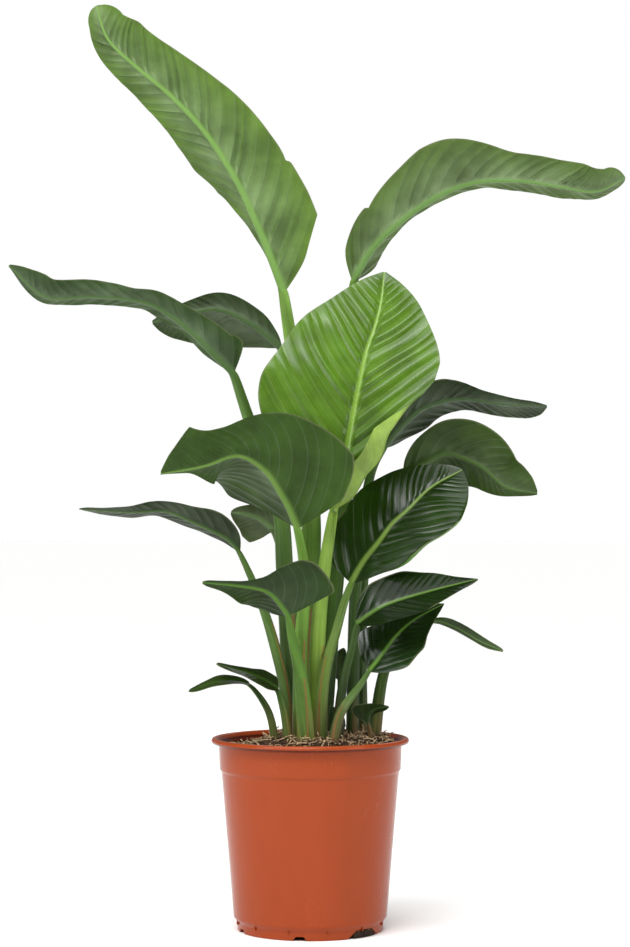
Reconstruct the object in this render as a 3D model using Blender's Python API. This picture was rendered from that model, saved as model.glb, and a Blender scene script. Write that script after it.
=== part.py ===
"""A potted bird of paradise: a nursery pot, its soil and a clump of long-stalked leaves.

Metres, +Z up, the pot's foot on z = 0, its axis on the Z axis and the viewer at -Y.
"""

import math
from dataclasses import dataclass

import bmesh
import bpy
import numpy as np

# ---------------------------------------------------------------- driving dimensions
RIM_RADIUS = 0.105  # the pot's widest point, a nominal 21 cm pot
POT_HEIGHT = 0.202
WALL = 0.0022
LIP_DEPTH = 0.006  # height of the rolled lip
LIP_OVERHANG = 0.0083  # how far the lip stands out past the band under it
BAND_DEPTH = 0.034  # from the rim down to the small step under the upper band
BAND_TAPER = 0.001  # radius lost down the band
BAND_STEP = 0.0019  # and at the step
BODY_TAPER = 0.013  # and from the step to the foot
FOOT_TOP = 0.014  # where the body turns in to the foot ring
FOOT_STEP = 0.004
FOOT_RING = 0.004  # width of the ring that the pot stands on
FLOOR_BOTTOM = 0.005  # the raised floor between the foot ring and the centre pad
FLOOR_THICKNESS = 0.003
PAD_RADIUS = 0.012  # the centre pad, level with the foot ring
POT_STEPS = 48

NOTCH_ANGLES = (-98.0, 22.0, 82.0, 142.0, 202.0)  # round the foot ring, degrees
NOTCH_WIDTH = 0.018
NOTCH_TOP_SHARE = 0.52  # a notch narrows to this at its top
NOTCH_HEIGHT = 0.0045
GAP_ANGLE = -43.0  # the wide gap in the foot ring, at the front right
GAP_WIDTH = 0.050
GAP_HEIGHT = 0.0085
HOLE_RADIUS = 0.006  # drainage holes in the floor
HOLE_COUNT = 6
HOLE_INSET = 0.016  # from the foot ring's outside to a hole's centre

SOIL_DROP = 0.012  # from the rim down to the soil
SOIL_GAP = 0.0006  # between the soil and the pot's wall and floor

PLANT_SCALE = 1.0  # grows or shrinks every leaf about the middle of the soil
BLADE_THICKNESS = 0.0012
JOINT_GAP = 0.0004  # between a stalk and its blade, and between a stalk and the soil
STALK_SIDES = 8
STALK_RINGS = 10
STALK_TAPER = 0.6  # under 1 keeps the stalks' sheaths broad well above the soil

ROOT_CLEARANCE = 0.0006  # round the tuft of root in the wide gap
ROOT_SPAN = 0.030

# ---------------------------------------------------------------- what follows from them
BAND_RADIUS_TOP = RIM_RADIUS - LIP_OVERHANG
BAND_RADIUS_BOTTOM = BAND_RADIUS_TOP - BAND_TAPER
BAND_BOTTOM = POT_HEIGHT - BAND_DEPTH
BODY_RADIUS_TOP = BAND_RADIUS_BOTTOM - BAND_STEP
BODY_RADIUS_BOTTOM = BODY_RADIUS_TOP - BODY_TAPER
FOOT_RADIUS = BODY_RADIUS_BOTTOM - FOOT_STEP
FLOOR_TOP = FLOOR_BOTTOM + FLOOR_THICKNESS
SOIL_TOP = POT_HEIGHT - SOIL_DROP


@dataclass
class Half:
    """One half of a blade, from the midrib to a margin."""

    reach: tuple  # from midrib to margin along the surface, at each of STATIONS
    fold: tuple  # degrees of rise towards the upper face, at base, middle and tip
    curl: tuple = (0, 0, 0)  # further degrees of rise between midrib and margin
    lobe: float = 0.0  # how far the rounded base bulges back past the stalk's end
    hem: tuple = (0, 0)  # width of margin folded over the upper face, evenly spaced from base to tip


@dataclass
class Leaf:
    name: str
    midrib: tuple  # points from the stalk to the tip, as (x, y, height above the soil)
    faces: tuple  # directions the upper face looks in, at base, middle and tip
    left: Half  # seen from the stalk with the upper face up
    right: Half
    stalk: tuple  # points from the soil to short of the blade, which ends it
    base_size: tuple  # the stalk's width and depth at the soil
    top_size: tuple  # and just under the blade
    ripple: float = 0.0  # height of the waves along the margins
    waves: float = 4.0
    colour: tuple = (0.045, 0.13, 0.025)


STATIONS = (0.0, 0.08, 0.25, 0.45, 0.65, 0.85, 0.95, 1.0)  # shares of a blade's length
LOBE_SHARE = 0.3  # and the share of it that a lobe takes
HEM_BEND = 0.012  # length of the bend into a hem
HEM_TURN = math.radians(150)

LEAVES = (
    Leaf(
        "leaf_01",
        midrib=((-0.029, 0.035, 0.487), (-0.041, 0.032, 0.519), (-0.054, 0.027, 0.551),
            (-0.079, 0.016, 0.604), (-0.111, 0.005, 0.653), (-0.147, -0.003, 0.691),
            (-0.186, -0.010, 0.723), (-0.214, -0.015, 0.750), (-0.226, -0.018, 0.785)),
        faces=((0.3, 1, 0.1), (0.2, 1, 0.2), (0.1, 1, 0.3)),
        left=Half((0.002, 0.036, 0.062, 0.056, 0.044, 0.035, 0.022, 0.005), (5, 5, 5)),
        right=Half((0.002, 0.006, 0.022, 0.046, 0.034, 0.023, 0.015, 0.005), (50, 30, 10)),
        stalk=((-0.008, 0.022, 0), (-0.005, 0.022, 0.135), (0.001, 0.026, 0.242),
            (-0.012, 0.035, 0.371)),
        base_size=(0.026, 0.016),
        top_size=(0.0105, 0.0080),
        colour=(0.1, 0.22, 0.045),
    ),
    Leaf(
        "leaf_02",
        midrib=((0.046, 0.020, 0.497), (0.061, 0.017, 0.524), (0.080, 0.012, 0.546),
            (0.113, 0.005, 0.572), (0.145, 0.000, 0.590), (0.179, -0.005, 0.600),
            (0.222, -0.011, 0.600), (0.264, -0.018, 0.593), (0.301, -0.024, 0.587),
            (0.331, -0.028, 0.602)),
        faces=((-0.5, 0.8, 0.4), (-0.2, 0.7, 0.7), (0, 0.6, 0.8)),
        left=Half((0.002, 0.030, 0.014, 0.018, 0.026, 0.020, 0.014, 0.004), (30, 30, 15)),
        right=Half((0.002, 0.027, 0.042, 0.054, 0.031, 0.031, 0.022, 0.006), (10, 20, 15)),
        stalk=((0.013, 0.038, 0), (0.024, 0.038, 0.134), (0.037, 0.038, 0.263),
            (0.047, 0.032, 0.370)),
        base_size=(0.018, 0.012),
        top_size=(0.0100, 0.0080),
        colour=(0.09, 0.2, 0.045),
    ),
    Leaf(
        "leaf_03",
        midrib=((-0.081, -0.015, 0.397), (-0.101, -0.023, 0.416), (-0.122, -0.032, 0.437),
            (-0.147, -0.042, 0.456), (-0.174, -0.052, 0.469), (-0.225, -0.068, 0.473),
            (-0.272, -0.082, 0.471), (-0.308, -0.092, 0.502)),
        faces=((0.4, 0.8, 0.4), (0.2, 0.45, 0.9), (0, 0.7, 0.7)),
        left=Half((0.002, 0.034, 0.024, 0.020, 0.024, 0.024, 0.012, 0.002), (15, 10, 10)),
        right=Half((0.002, 0.010, 0.014, 0.018, 0.016, 0.010, 0.006, 0.002), (15, 0, 10)),
        stalk=((-0.016, -0.008, 0), (-0.022, -0.006, 0.115), (-0.027, -0.005, 0.189),
            (-0.031, -0.005, 0.247), (-0.045, -0.007, 0.297), (-0.061, -0.010, 0.337)),
        base_size=(0.023, 0.014),
        top_size=(0.0090, 0.0080),
    ),
    Leaf(
        "leaf_04",
        midrib=((-0.032, 0.055, 0.429), (-0.063, 0.055, 0.453), (-0.098, 0.050, 0.469),
            (-0.130, 0.045, 0.465), (-0.170, 0.035, 0.454)),
        faces=((0.3, 0.8, 0.5), (0.1, 0.8, 0.6), (0, 0.8, 0.6)),
        left=Half((0.002, 0.010, 0.018, 0.020, 0.016, 0.010, 0.005, 0.002), (20, 20, 20)),
        right=Half((0.002, 0.012, 0.034, 0.046, 0.042, 0.028, 0.014, 0.002), (0, 0, 0)),
        stalk=((0.002, 0.055, 0), (0.002, 0.055, 0.133), (-0.003, 0.058, 0.263),
            (-0.011, 0.058, 0.350)),
        base_size=(0.016, 0.012),
        top_size=(0.0080, 0.0070),
    ),
    Leaf(
        "leaf_05",
        midrib=((0.024, -0.048, 0.250), (0.034, -0.042, 0.294), (0.042, -0.038, 0.336),
            (0.046, -0.034, 0.358), (0.052, -0.027, 0.387), (0.059, -0.018, 0.419),
            (0.068, -0.010, 0.445), (0.075, 0.000, 0.472), (0.079, 0.012, 0.506)),
        faces=((-0.1, -1, 0.1), (-0.1, -1, 0.2), (-0.1, -1, 0.3)),
        left=Half((0.002, 0.030, 0.084, 0.108, 0.084, 0.052, 0.026, 0.002), (10, 10, 5)),
        right=Half((0.002, 0.030, 0.062, 0.072, 0.080, 0.046, 0.020, 0.002), (15, 12, 5),
            hem=(0.004, 0.016, 0.024, 0.010, 0, 0, 0)),
        stalk=((0.005, -0.030, 0), (0.006, -0.031, 0.053), (0.007, -0.036, 0.106),
            (0.011, -0.043, 0.158), (0.016, -0.048, 0.200)),
        base_size=(0.020, 0.012),
        top_size=(0.0090, 0.0080),
        colour=(0.1, 0.26, 0.02),
    ),
    Leaf(
        "leaf_06",
        midrib=((-0.013, -0.062, 0.233), (-0.021, -0.066, 0.252), (-0.029, -0.072, 0.267),
            (-0.046, -0.084, 0.292), (-0.073, -0.104, 0.307), (-0.107, -0.126, 0.296),
            (-0.149, -0.146, 0.288)),
        faces=((0.5, 0.8, 0.3), (0.3, 0.8, 0.5), (0.1, 0.8, 0.6)),
        left=Half((0.002, 0.060, 0.084, 0.072, 0.036, 0.042, 0.022, 0.002), (15, 10, 5)),
        right=Half((0.002, 0.026, 0.080, 0.068, 0.036, 0.006, 0.003, 0.002), (20, 15, 5)),
        stalk=((-0.010, -0.048, 0), (-0.010, -0.049, 0.107), (-0.006, -0.052, 0.159),
            (-0.007, -0.057, 0.200)),
        base_size=(0.017, 0.011),
        top_size=(0.0085, 0.0070),
    ),
    Leaf(
        "leaf_07",
        midrib=((0.078, 0.035, 0.319), (0.093, 0.031, 0.338), (0.110, 0.027, 0.354),
            (0.126, 0.022, 0.364), (0.160, 0.015, 0.371), (0.202, 0.004, 0.365),
            (0.250, -0.010, 0.362)),
        faces=((-0.4, 0.8, 0.4), (-0.2, 0.7, 0.7), (0, 0.7, 0.7)),
        left=Half((0.002, 0.020, 0.032, 0.026, 0.024, 0.026, 0.016, 0.002), (15, 15, 10)),
        right=Half((0.002, 0.015, 0.026, 0.029, 0.016, 0.008, 0.005, 0.002), (10, 5, 0)),
        stalk=((0.045, 0.032, 0), (0.048, 0.035, 0.156), (0.058, 0.038, 0.252),
            (0.066, 0.038, 0.295)),
        base_size=(0.014, 0.011),
        top_size=(0.0090, 0.0070),
    ),
    Leaf(
        "leaf_08",
        midrib=((0.101, 0.048, 0.289), (0.119, 0.044, 0.302), (0.133, 0.040, 0.309),
            (0.150, 0.036, 0.313), (0.183, 0.026, 0.299), (0.208, 0.017, 0.277),
            (0.241, 0.005, 0.270)),
        faces=((-0.3, 0.9, 0.3), (-0.2, 0.9, 0.4), (0, 0.9, 0.4)),
        left=Half((0.002, 0.014, 0.034, 0.032, 0.022, 0.008, 0.005, 0.002), (10, 10, 10)),
        right=Half((0.002, 0.016, 0.032, 0.042, 0.036, 0.030, 0.018, 0.003), (5, 5, 5)),
        stalk=((0.056, 0.046, 0), (0.055, 0.046, 0.112), (0.060, 0.048, 0.198),
            (0.081, 0.050, 0.252)),
        base_size=(0.013, 0.010),
        top_size=(0.0080, 0.0070),
        colour=(0.07, 0.14, 0.025),
    ),
    Leaf(
        "leaf_09",
        midrib=((0.043, -0.012, 0.175), (0.057, -0.013, 0.199), (0.073, -0.012, 0.219),
            (0.087, -0.008, 0.238), (0.103, -0.005, 0.252), (0.128, 0.005, 0.276),
            (0.162, 0.015, 0.295)),
        faces=((-0.3, -0.9, 0.4), (-0.3, -0.9, 0.4), (-0.2, -0.9, 0.5)),
        left=Half((0.002, 0.046, 0.052, 0.052, 0.045, 0.024, 0.012, 0.002), (10, 10, 5)),
        right=Half((0.002, 0.018, 0.045, 0.058, 0.066, 0.046, 0.026, 0.005), (10, 10, 5),
            hem=(0, 0.006, 0.009, 0.008, 0.009, 0.004, 0)),
        stalk=((0.011, -0.050, 0), (0.012, -0.049, 0.055), (0.017, -0.044, 0.091),
            (0.026, -0.035, 0.122), (0.035, -0.022, 0.153)),
        base_size=(0.014, 0.010),
        top_size=(0.0065, 0.0060),
    ),
    Leaf(
        "leaf_10",
        midrib=((0.048, -0.048, 0.134), (0.071, -0.052, 0.150), (0.094, -0.050, 0.159),
            (0.130, -0.045, 0.169), (0.175, -0.038, 0.180)),
        faces=((-0.3, -0.7, 0.6), (-0.2, -0.7, 0.7), (-0.1, -0.6, 0.8)),
        left=Half((0.002, 0.020, 0.033, 0.034, 0.024, 0.011, 0.005, 0.001), (10, 10, 5)),
        right=Half((0.002, 0.016, 0.028, 0.032, 0.025, 0.010, 0.005, 0.001), (10, 10, 5)),
        stalk=((0.028, -0.028, 0), (0.031, -0.030, 0.047), (0.036, -0.035, 0.080),
            (0.044, -0.042, 0.111)),
        base_size=(0.012, 0.009),
        top_size=(0.0055, 0.0050),
    ),
    Leaf(
        "leaf_11",
        midrib=((0.061, -0.038, 0.084), (0.075, -0.036, 0.101), (0.090, -0.028, 0.120),
            (0.110, -0.020, 0.137), (0.141, -0.010, 0.153)),
        faces=((-0.3, -0.8, 0.5), (-0.2, -0.8, 0.6), (-0.1, -0.7, 0.7)),
        left=Half((0.002, 0.020, 0.035, 0.024, 0.014, 0.007, 0.004, 0.001), (5, 5, 5)),
        right=Half((0.002, 0.018, 0.036, 0.036, 0.026, 0.012, 0.005, 0.001), (5, 5, 5)),
        stalk=((0.022, -0.063, 0), (0.029, -0.061, 0.037), (0.039, -0.055, 0.054),
            (0.052, -0.046, 0.070)),
        base_size=(0.012, 0.009),
        top_size=(0.0045, 0.0045),
    ),
    Leaf(
        "leaf_12",
        midrib=((0.128, 0.008, 0.134), (0.138, 0.006, 0.133), (0.158, 0.002, 0.125),
            (0.179, -0.004, 0.113), (0.203, -0.012, 0.103)),
        faces=((0, -0.5, 0.85), (0, -0.5, 0.85), (0, -0.45, 0.9)),
        left=Half((0.002, 0.006, 0.009, 0.009, 0.008, 0.005, 0.003, 0.001), (20, 20, 15)),
        right=Half((0.002, 0.006, 0.009, 0.010, 0.008, 0.006, 0.003, 0.001), (20, 20, 15)),
        stalk=((0.066, -0.003, 0), (0.074, 0.000, 0.062), (0.083, 0.003, 0.093),
            (0.103, 0.006, 0.120)),
        base_size=(0.015, 0.010),
        top_size=(0.0040, 0.0040),
    ),
    Leaf(
        "leaf_13",
        midrib=((-0.075, -0.015, 0.209), (-0.086, -0.022, 0.222), (-0.103, -0.030, 0.231),
            (-0.125, -0.038, 0.241), (-0.151, -0.048, 0.251), (-0.186, -0.060, 0.250),
            (-0.237, -0.078, 0.253)),
        faces=((0.4, 0.7, 0.5), (0.2, 0.4, 0.9), (0, 0.3, 0.9)),
        left=Half((0.002, 0.014, 0.030, 0.022, 0.016, 0.008, 0.005, 0.001), (10, 10, 10)),
        right=Half((0.002, 0.010, 0.018, 0.024, 0.022, 0.018, 0.009, 0.001), (10, 5, 5)),
        stalk=((-0.018, -0.024, 0), (-0.026, -0.023, 0.063), (-0.036, -0.022, 0.105),
            (-0.048, -0.020, 0.145), (-0.062, -0.017, 0.181)),
        base_size=(0.014, 0.010),
        top_size=(0.0055, 0.0050),
    ),
    Leaf(
        "leaf_14",
        midrib=((-0.040, 0.070, 0.231), (-0.053, 0.068, 0.242), (-0.066, 0.064, 0.247),
            (-0.086, 0.056, 0.250)),
        faces=((0.2, 0.9, 0.3), (0.1, 0.9, 0.4), (0, 0.9, 0.4)),
        left=Half((0.002, 0.012, 0.018, 0.016, 0.012, 0.008, 0.005, 0.002), (10, 10, 5)),
        right=Half((0.002, 0.020, 0.034, 0.032, 0.022, 0.012, 0.006, 0.002), (10, 10, 5)),
        stalk=((-0.018, 0.058, 0), (-0.021, 0.062, 0.111), (-0.029, 0.067, 0.187),
            (-0.034, 0.069, 0.214)),
        base_size=(0.011, 0.009),
        top_size=(0.0070, 0.0060),
    ),
    Leaf(
        "leaf_15",
        midrib=((-0.022, -0.088, 0.143), (-0.030, -0.092, 0.155), (-0.044, -0.100, 0.169),
            (-0.071, -0.112, 0.175), (-0.108, -0.128, 0.179)),
        faces=((0.4, 0.8, 0.3), (0.2, 0.8, 0.5), (0, 0.8, 0.6)),
        left=Half((0.002, 0.054, 0.058, 0.014, 0.006, 0.004, 0.003, 0.001), (15, 10, 5), lobe=0.016),
        right=Half((0.002, 0.022, 0.036, 0.030, 0.018, 0.008, 0.004, 0.001), (20, 10, 5)),
        stalk=((-0.003, -0.066, 0), (-0.007, -0.069, 0.056), (-0.012, -0.077, 0.093),
            (-0.019, -0.085, 0.124)),
        base_size=(0.019, 0.009),
        top_size=(0.0055, 0.0050),
    ),
    Leaf(
        "leaf_16",
        midrib=((-0.033, -0.052, 0.066), (-0.046, -0.056, 0.075), (-0.062, -0.062, 0.083),
            (-0.078, -0.068, 0.088), (-0.096, -0.075, 0.094)),
        faces=((0.3, -0.5, 0.8), (0.2, -0.5, 0.8), (0.1, -0.5, 0.9)),
        left=Half((0.002, 0.010, 0.018, 0.018, 0.012, 0.006, 0.003, 0.001), (10, 10, 5)),
        right=Half((0.002, 0.014, 0.014, 0.009, 0.006, 0.004, 0.003, 0.001), (15, 10, 5)),
        stalk=((-0.021, -0.061, 0), (-0.026, -0.058, 0.039), (-0.030, -0.054, 0.055)),
        base_size=(0.010, 0.008),
        top_size=(0.0060, 0.0050),
    ),
    Leaf(
        "leaf_17",
        midrib=((-0.063, -0.050, 0.072), (-0.078, -0.058, 0.076), (-0.098, -0.068, 0.075),
            (-0.124, -0.082, 0.066)),
        faces=((0.3, -0.5, 0.8), (0.2, -0.5, 0.8), (0.1, -0.5, 0.9)),
        left=Half((0.002, 0.005, 0.008, 0.009, 0.007, 0.006, 0.004, 0.001), (10, 10, 5)),
        right=Half((0.002, 0.004, 0.006, 0.008, 0.006, 0.004, 0.003, 0.001), (15, 10, 5)),
        stalk=((-0.035, -0.042, 0), (-0.041, -0.043, 0.036), (-0.050, -0.046, 0.055)),
        base_size=(0.009, 0.007),
        top_size=(0.0045, 0.0045),
    ),
    Leaf(
        "leaf_18",
        midrib=((0.060, -0.028, 0.029), (0.061, -0.031, 0.039), (0.069, -0.034, 0.045),
            (0.082, -0.038, 0.047)),
        faces=((-0.4, 0.8, 0.4), (-0.3, 0.8, 0.5), (-0.1, 0.8, 0.6)),
        left=Half((0.002, 0.005, 0.006, 0.008, 0.009, 0.006, 0.003, 0.001), (10, 10, 5)),
        right=Half((0.002, 0.016, 0.022, 0.014, 0.008, 0.004, 0.002, 0.001), (5, 5, 5)),
        stalk=((0.062, -0.026, 0), (0.063, -0.027, 0.022)),
        base_size=(0.006, 0.006),
        top_size=(0.0040, 0.0040),
    ),
    Leaf(
        "leaf_19",
        midrib=((0.032, 0.060, 0.068), (0.031, 0.060, 0.079), (0.032, 0.058, 0.092),
            (0.036, 0.054, 0.103)),
        faces=((0.1, -1, 0.1), (0, -1, 0.2), (0, -1, 0.2)),
        left=Half((0.002, 0.005, 0.007, 0.008, 0.007, 0.005, 0.003, 0.001), (10, 10, 5)),
        right=Half((0.002, 0.005, 0.007, 0.008, 0.007, 0.005, 0.003, 0.001), (10, 10, 5)),
        stalk=((0.032, 0.060, 0), (0.033, 0.061, 0.041)),
        base_size=(0.009, 0.008),
        top_size=(0.0050, 0.0040),
    ),
    Leaf(
        "leaf_20",
        midrib=((0.032, 0.006, 0.016), (0.029, 0.005, 0.027), (0.022, 0.003, 0.045)),
        faces=((-0.3, -0.9, 0.3), (-0.2, -0.9, 0.3), (-0.1, -0.9, 0.3)),
        left=Half((0.002, 0.004, 0.006, 0.007, 0.006, 0.004, 0.002, 0.001), (10, 10, 5)),
        right=Half((0.002, 0.005, 0.008, 0.009, 0.007, 0.004, 0.002, 0.001), (10, 10, 5)),
        stalk=((0.033, 0.007, 0), (0.032, 0.006, 0.014)),
        base_size=(0.007, 0.006),
        top_size=(0.0050, 0.0050),
    ),
)


# ---------------------------------------------------------------- curves and surfaces
def unit(vectors):
    lengths = np.linalg.norm(vectors, axis=-1, keepdims=True)
    return vectors / np.maximum(lengths, 1e-12)


def curve_through(points, count):
    """A smooth line through the points, as count places an equal length apart."""
    points = np.asarray(points, float)
    ends = [2 * points[0] - points[1]], points, [2 * points[-1] - points[-2]]
    padded = np.concatenate(ends)
    fine = []
    for i in range(len(points) - 1):
        before, start, end, after = padded[i : i + 4]
        t = np.linspace(0, 1, 24, endpoint=False)[:, None]
        fine.append(
            0.5
            * (
                2 * start
                + (end - before) * t
                + (2 * before - 5 * start + 4 * end - after) * t**2
                + (3 * start - before - 3 * end + after) * t**3
            )
        )
    fine = np.concatenate([*fine, points[-1:]])
    along = np.concatenate([[0], np.cumsum(np.linalg.norm(np.diff(fine, axis=0), axis=1))])
    wanted = np.linspace(0, along[-1], count)
    return np.stack([np.interp(wanted, along, fine[:, k]) for k in range(3)], axis=1)


def between(values, share):
    """Values given at the base, middle and tip, at each share of the length."""
    values = np.asarray(values, float)
    if values.ndim == 1:
        return np.interp(share, (0, 0.5, 1), values)
    return np.stack([np.interp(share, (0, 0.5, 1), column) for column in values.T], axis=1)


def smooth_between(stations, values, share):
    """A curve through the values that never overshoots them."""
    x = np.asarray(stations, float)
    y = np.asarray(values, float)
    gaps = np.diff(x)
    slopes = np.diff(y) / gaps
    tangent = np.zeros(len(x))
    same_way = slopes[:-1] * slopes[1:] > 0
    mean = 2 * slopes[:-1] * slopes[1:] / np.where(same_way, slopes[:-1] + slopes[1:], 1)
    tangent[1:-1] = np.where(same_way, mean, 0)
    tangent[0] = 1.5 * slopes[0] - tangent[1] / 2
    tangent[-1] = 1.5 * slopes[-1] - tangent[-2] / 2
    i = np.clip(np.searchsorted(x, share, side="right") - 1, 0, len(gaps) - 1)
    t = (share - x[i]) / gaps[i]
    return (
        y[i] * (1 + 2 * t) * (1 - t) ** 2
        + tangent[i] * gaps[i] * t * (1 - t) ** 2
        + y[i + 1] * t**2 * (3 - 2 * t)
        + tangent[i + 1] * gaps[i] * t**2 * (t - 1)
    )


def blade_points(leaf, rows, columns):
    """The blade's middle surface: rows along it, and 2 columns + 1 points across from right to left."""
    midrib = curve_through(leaf.midrib, rows + 1)
    share = np.linspace(0, 1, rows + 1)
    tangent = unit(np.gradient(midrib, axis=0))
    face = between(leaf.faces, share)
    face = unit(face - tangent * (face * tangent).sum(axis=1, keepdims=True))
    leftwards = np.cross(face, tangent)
    sides = []
    for half, side in ((leaf.right, -1), (leaf.left, 1)):
        reach = smooth_between(STATIONS, half.reach, share)
        fold = np.radians(between(half.fold, share))
        curl = np.radians(between(half.curl, share))
        back = half.lobe * np.sin(math.pi * np.clip(share / LOBE_SHARE, 0, 1))
        hem = np.interp(share, np.linspace(0, 1, len(half.hem)), half.hem)
        point = midrib.copy()
        across = []
        for column in range(columns):
            middle = (column + 0.5) / columns
            turned = np.clip((middle * reach - reach + hem) / HEM_BEND, 0, 1)
            angle = (fold + curl * middle + HEM_TURN * turned)[:, None]
            step = side * leftwards * np.cos(angle) + face * np.sin(angle)
            point = point + step * (reach / columns)[:, None]
            out = ((column + 1) / columns) ** 2
            phase = 2 * math.pi * leaf.waves * share + side
            wave = leaf.ripple * out * np.sin(phase) * np.sin(np.pi * share)
            across.append(point + face * wave[:, None] - tangent * (back * out)[:, None])
        sides.append(across)
    right, left = sides
    return np.stack([*right[::-1], midrib, *left], axis=1)


def planted(points):
    """Points given above the middle of the soil, at the plant's size and place."""
    return np.asarray(points, float) * PLANT_SCALE + np.array((0, 0, SOIL_TOP))


def stalk_line(leaf):
    """The stalk's middle, from just over the soil to just short of the blade."""
    start = np.asarray(leaf.midrib[0], float)
    onward = unit(np.asarray(leaf.midrib[1], float) - start)
    points = np.array([*leaf.stalk, start - onward * JOINT_GAP])
    points[0, 2] = JOINT_GAP
    return points, onward


def stalk_rings(leaf, rings, sides):
    """Rings of points round the stalk, from the soil to the blade."""
    points, onward = stalk_line(leaf)
    line = curve_through(points, rings)
    tangent = unit(np.gradient(line, axis=0))
    tangent[0] = (0, 0, 1)
    tangent[-1] = onward
    share = np.linspace(0, 1, rings)[:, None]
    facing = unit(np.array((0.0, 1.0, 0.0)) - tangent * tangent[:, 1:2])
    sideways = np.cross(facing, tangent)
    base = np.array(leaf.base_size) / 2
    top = np.array(leaf.top_size) / 2
    size = top + (base - top) * (1 - share) ** STALK_TAPER
    turn = np.arange(sides) * 2 * math.pi / sides
    across = sideways[:, None] * (size[:, :1] * np.cos(turn))[..., None]
    through = facing[:, None] * (size[:, 1:] * np.sin(turn))[..., None]
    return line[:, None] + across + through


# ---------------------------------------------------------------- Blender helpers
def clear_scene():
    for obj in list(bpy.data.objects):
        bpy.data.objects.remove(obj)


def plain_material(name, colour, roughness, metallic=0.0):
    material = bpy.data.materials.new(name)
    material.use_nodes = True
    shader = material.node_tree.nodes["Principled BSDF"]
    shader.inputs["Base Color"].default_value = (*colour, 1)
    shader.inputs["Roughness"].default_value = roughness
    shader.inputs["Metallic"].default_value = metallic
    material.diffuse_color = (*colour, 1)
    return material


def add_object(name, mesh, material, smooth=True):
    obj = bpy.data.objects.new(name, mesh)
    bpy.context.scene.collection.objects.link(obj)
    mesh.materials.append(material)
    mesh.polygons.foreach_set("use_smooth", [smooth] * len(mesh.polygons))
    return obj


def mesh_from(name, points, faces):
    """A mesh with its faces turned outwards."""
    mesh = bpy.data.meshes.new(name)
    mesh.from_pydata([tuple(point) for point in points], [], faces)
    shape = bmesh.new()
    shape.from_mesh(mesh)
    bmesh.ops.recalc_face_normals(shape, faces=shape.faces)
    shape.to_mesh(mesh)
    shape.free()
    return mesh


def grid_faces(rows, columns):
    """Quads over a grid of points numbered row by row."""
    wide = columns + 1
    return [
        (r * wide + c, r * wide + c + 1, (r + 1) * wide + c + 1, (r + 1) * wide + c)
        for r in range(rows)
        for c in range(columns)
    ]


def tube_faces(rings, sides):
    """Quads round a tube of rings, and a cap on each end."""
    faces = []
    for ring in range(rings - 1):
        for side in range(sides):
            a = ring * sides + side
            b = ring * sides + (side + 1) % sides
            faces.append((a, b, b + sides, a + sides))
    faces.append(tuple(range(sides)))
    faces.append(tuple(range((rings - 1) * sides, rings * sides)))
    return faces


def revolve(name, profile, material, steps=POT_STEPS):
    """A closed profile of (radius, height) points turned round the Z axis."""
    mesh = bpy.data.meshes.new(name)
    points = [(radius, 0, height) for radius, height in profile]
    edges = [(i, i + 1) for i in range(len(points) - 1)]
    mesh.from_pydata(points, edges, [])
    obj = add_object(name, mesh, material)
    screw = obj.modifiers.new("revolve", "SCREW")
    screw.steps = steps
    screw.render_steps = steps
    screw.use_merge_vertices = True
    screw.merge_threshold = 0.0001
    screw.use_smooth_shade = True
    return obj


def cutter(name, mesh):
    obj = bpy.data.objects.new(name, mesh)
    bpy.context.scene.collection.objects.link(obj)
    obj.hide_render = True
    obj.display_type = "WIRE"
    return obj


def cut(obj, tool):
    boolean = obj.modifiers.new(tool.name, "BOOLEAN")
    boolean.operation = "DIFFERENCE"
    boolean.solver = "EXACT"
    boolean.object = tool


# ---------------------------------------------------------------- the pieces
def outer_radius(height):
    """The tapering body's outside, at a height between the foot and the band."""
    share = (height - FOOT_TOP) / (BAND_BOTTOM - FOOT_TOP)
    return BODY_RADIUS_BOTTOM + (BODY_RADIUS_TOP - BODY_RADIUS_BOTTOM) * share


def inner_radius(height):
    return outer_radius(height) - WALL


def pot_profile():
    """Top to bottom down the outside, then up the inside back to the rim."""
    lip_bottom = POT_HEIGHT - LIP_DEPTH
    return (
        (RIM_RADIUS - 0.0035, POT_HEIGHT),
        (RIM_RADIUS - 0.0012, POT_HEIGHT - 0.0008),
        (RIM_RADIUS, POT_HEIGHT - 0.003),
        (RIM_RADIUS - 0.0006, lip_bottom),
        (BAND_RADIUS_TOP, lip_bottom),
        (BAND_RADIUS_BOTTOM, BAND_BOTTOM + 0.001),
        (BODY_RADIUS_TOP, BAND_BOTTOM - 0.002),
        (BODY_RADIUS_BOTTOM, FOOT_TOP),
        (FOOT_RADIUS, FOOT_TOP - 0.005),
        (FOOT_RADIUS, 0.0),
        (FOOT_RADIUS - FOOT_RING, 0.0),
        (FOOT_RADIUS - FOOT_RING - 0.001, FLOOR_BOTTOM),
        (PAD_RADIUS, FLOOR_BOTTOM),
        (PAD_RADIUS, 0.0),
        (0.0, 0.0),
        (0.0, FLOOR_TOP),
        (FOOT_RADIUS - WALL, FLOOR_TOP),
        (inner_radius(FOOT_TOP), FOOT_TOP + 0.001),
        (inner_radius(BAND_BOTTOM), BAND_BOTTOM),
        (BAND_RADIUS_TOP - WALL, POT_HEIGHT - 0.002),
        (RIM_RADIUS - 0.0055, POT_HEIGHT),
        (RIM_RADIUS - 0.0035, POT_HEIGHT),
    )


def outward(degrees):
    angle = math.radians(degrees)
    return np.array((math.cos(angle), math.sin(angle), 0))


def add_prism(shape, low, high):
    """A closed prism between two rings of as many points."""
    low = [shape.verts.new(point) for point in low]
    high = [shape.verts.new(point) for point in high]
    shape.faces.new(low)
    shape.faces.new(high)
    for i in range(len(low)):
        j = (i + 1) % len(low)
        shape.faces.new((low[i], low[j], high[j], high[i]))


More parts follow.
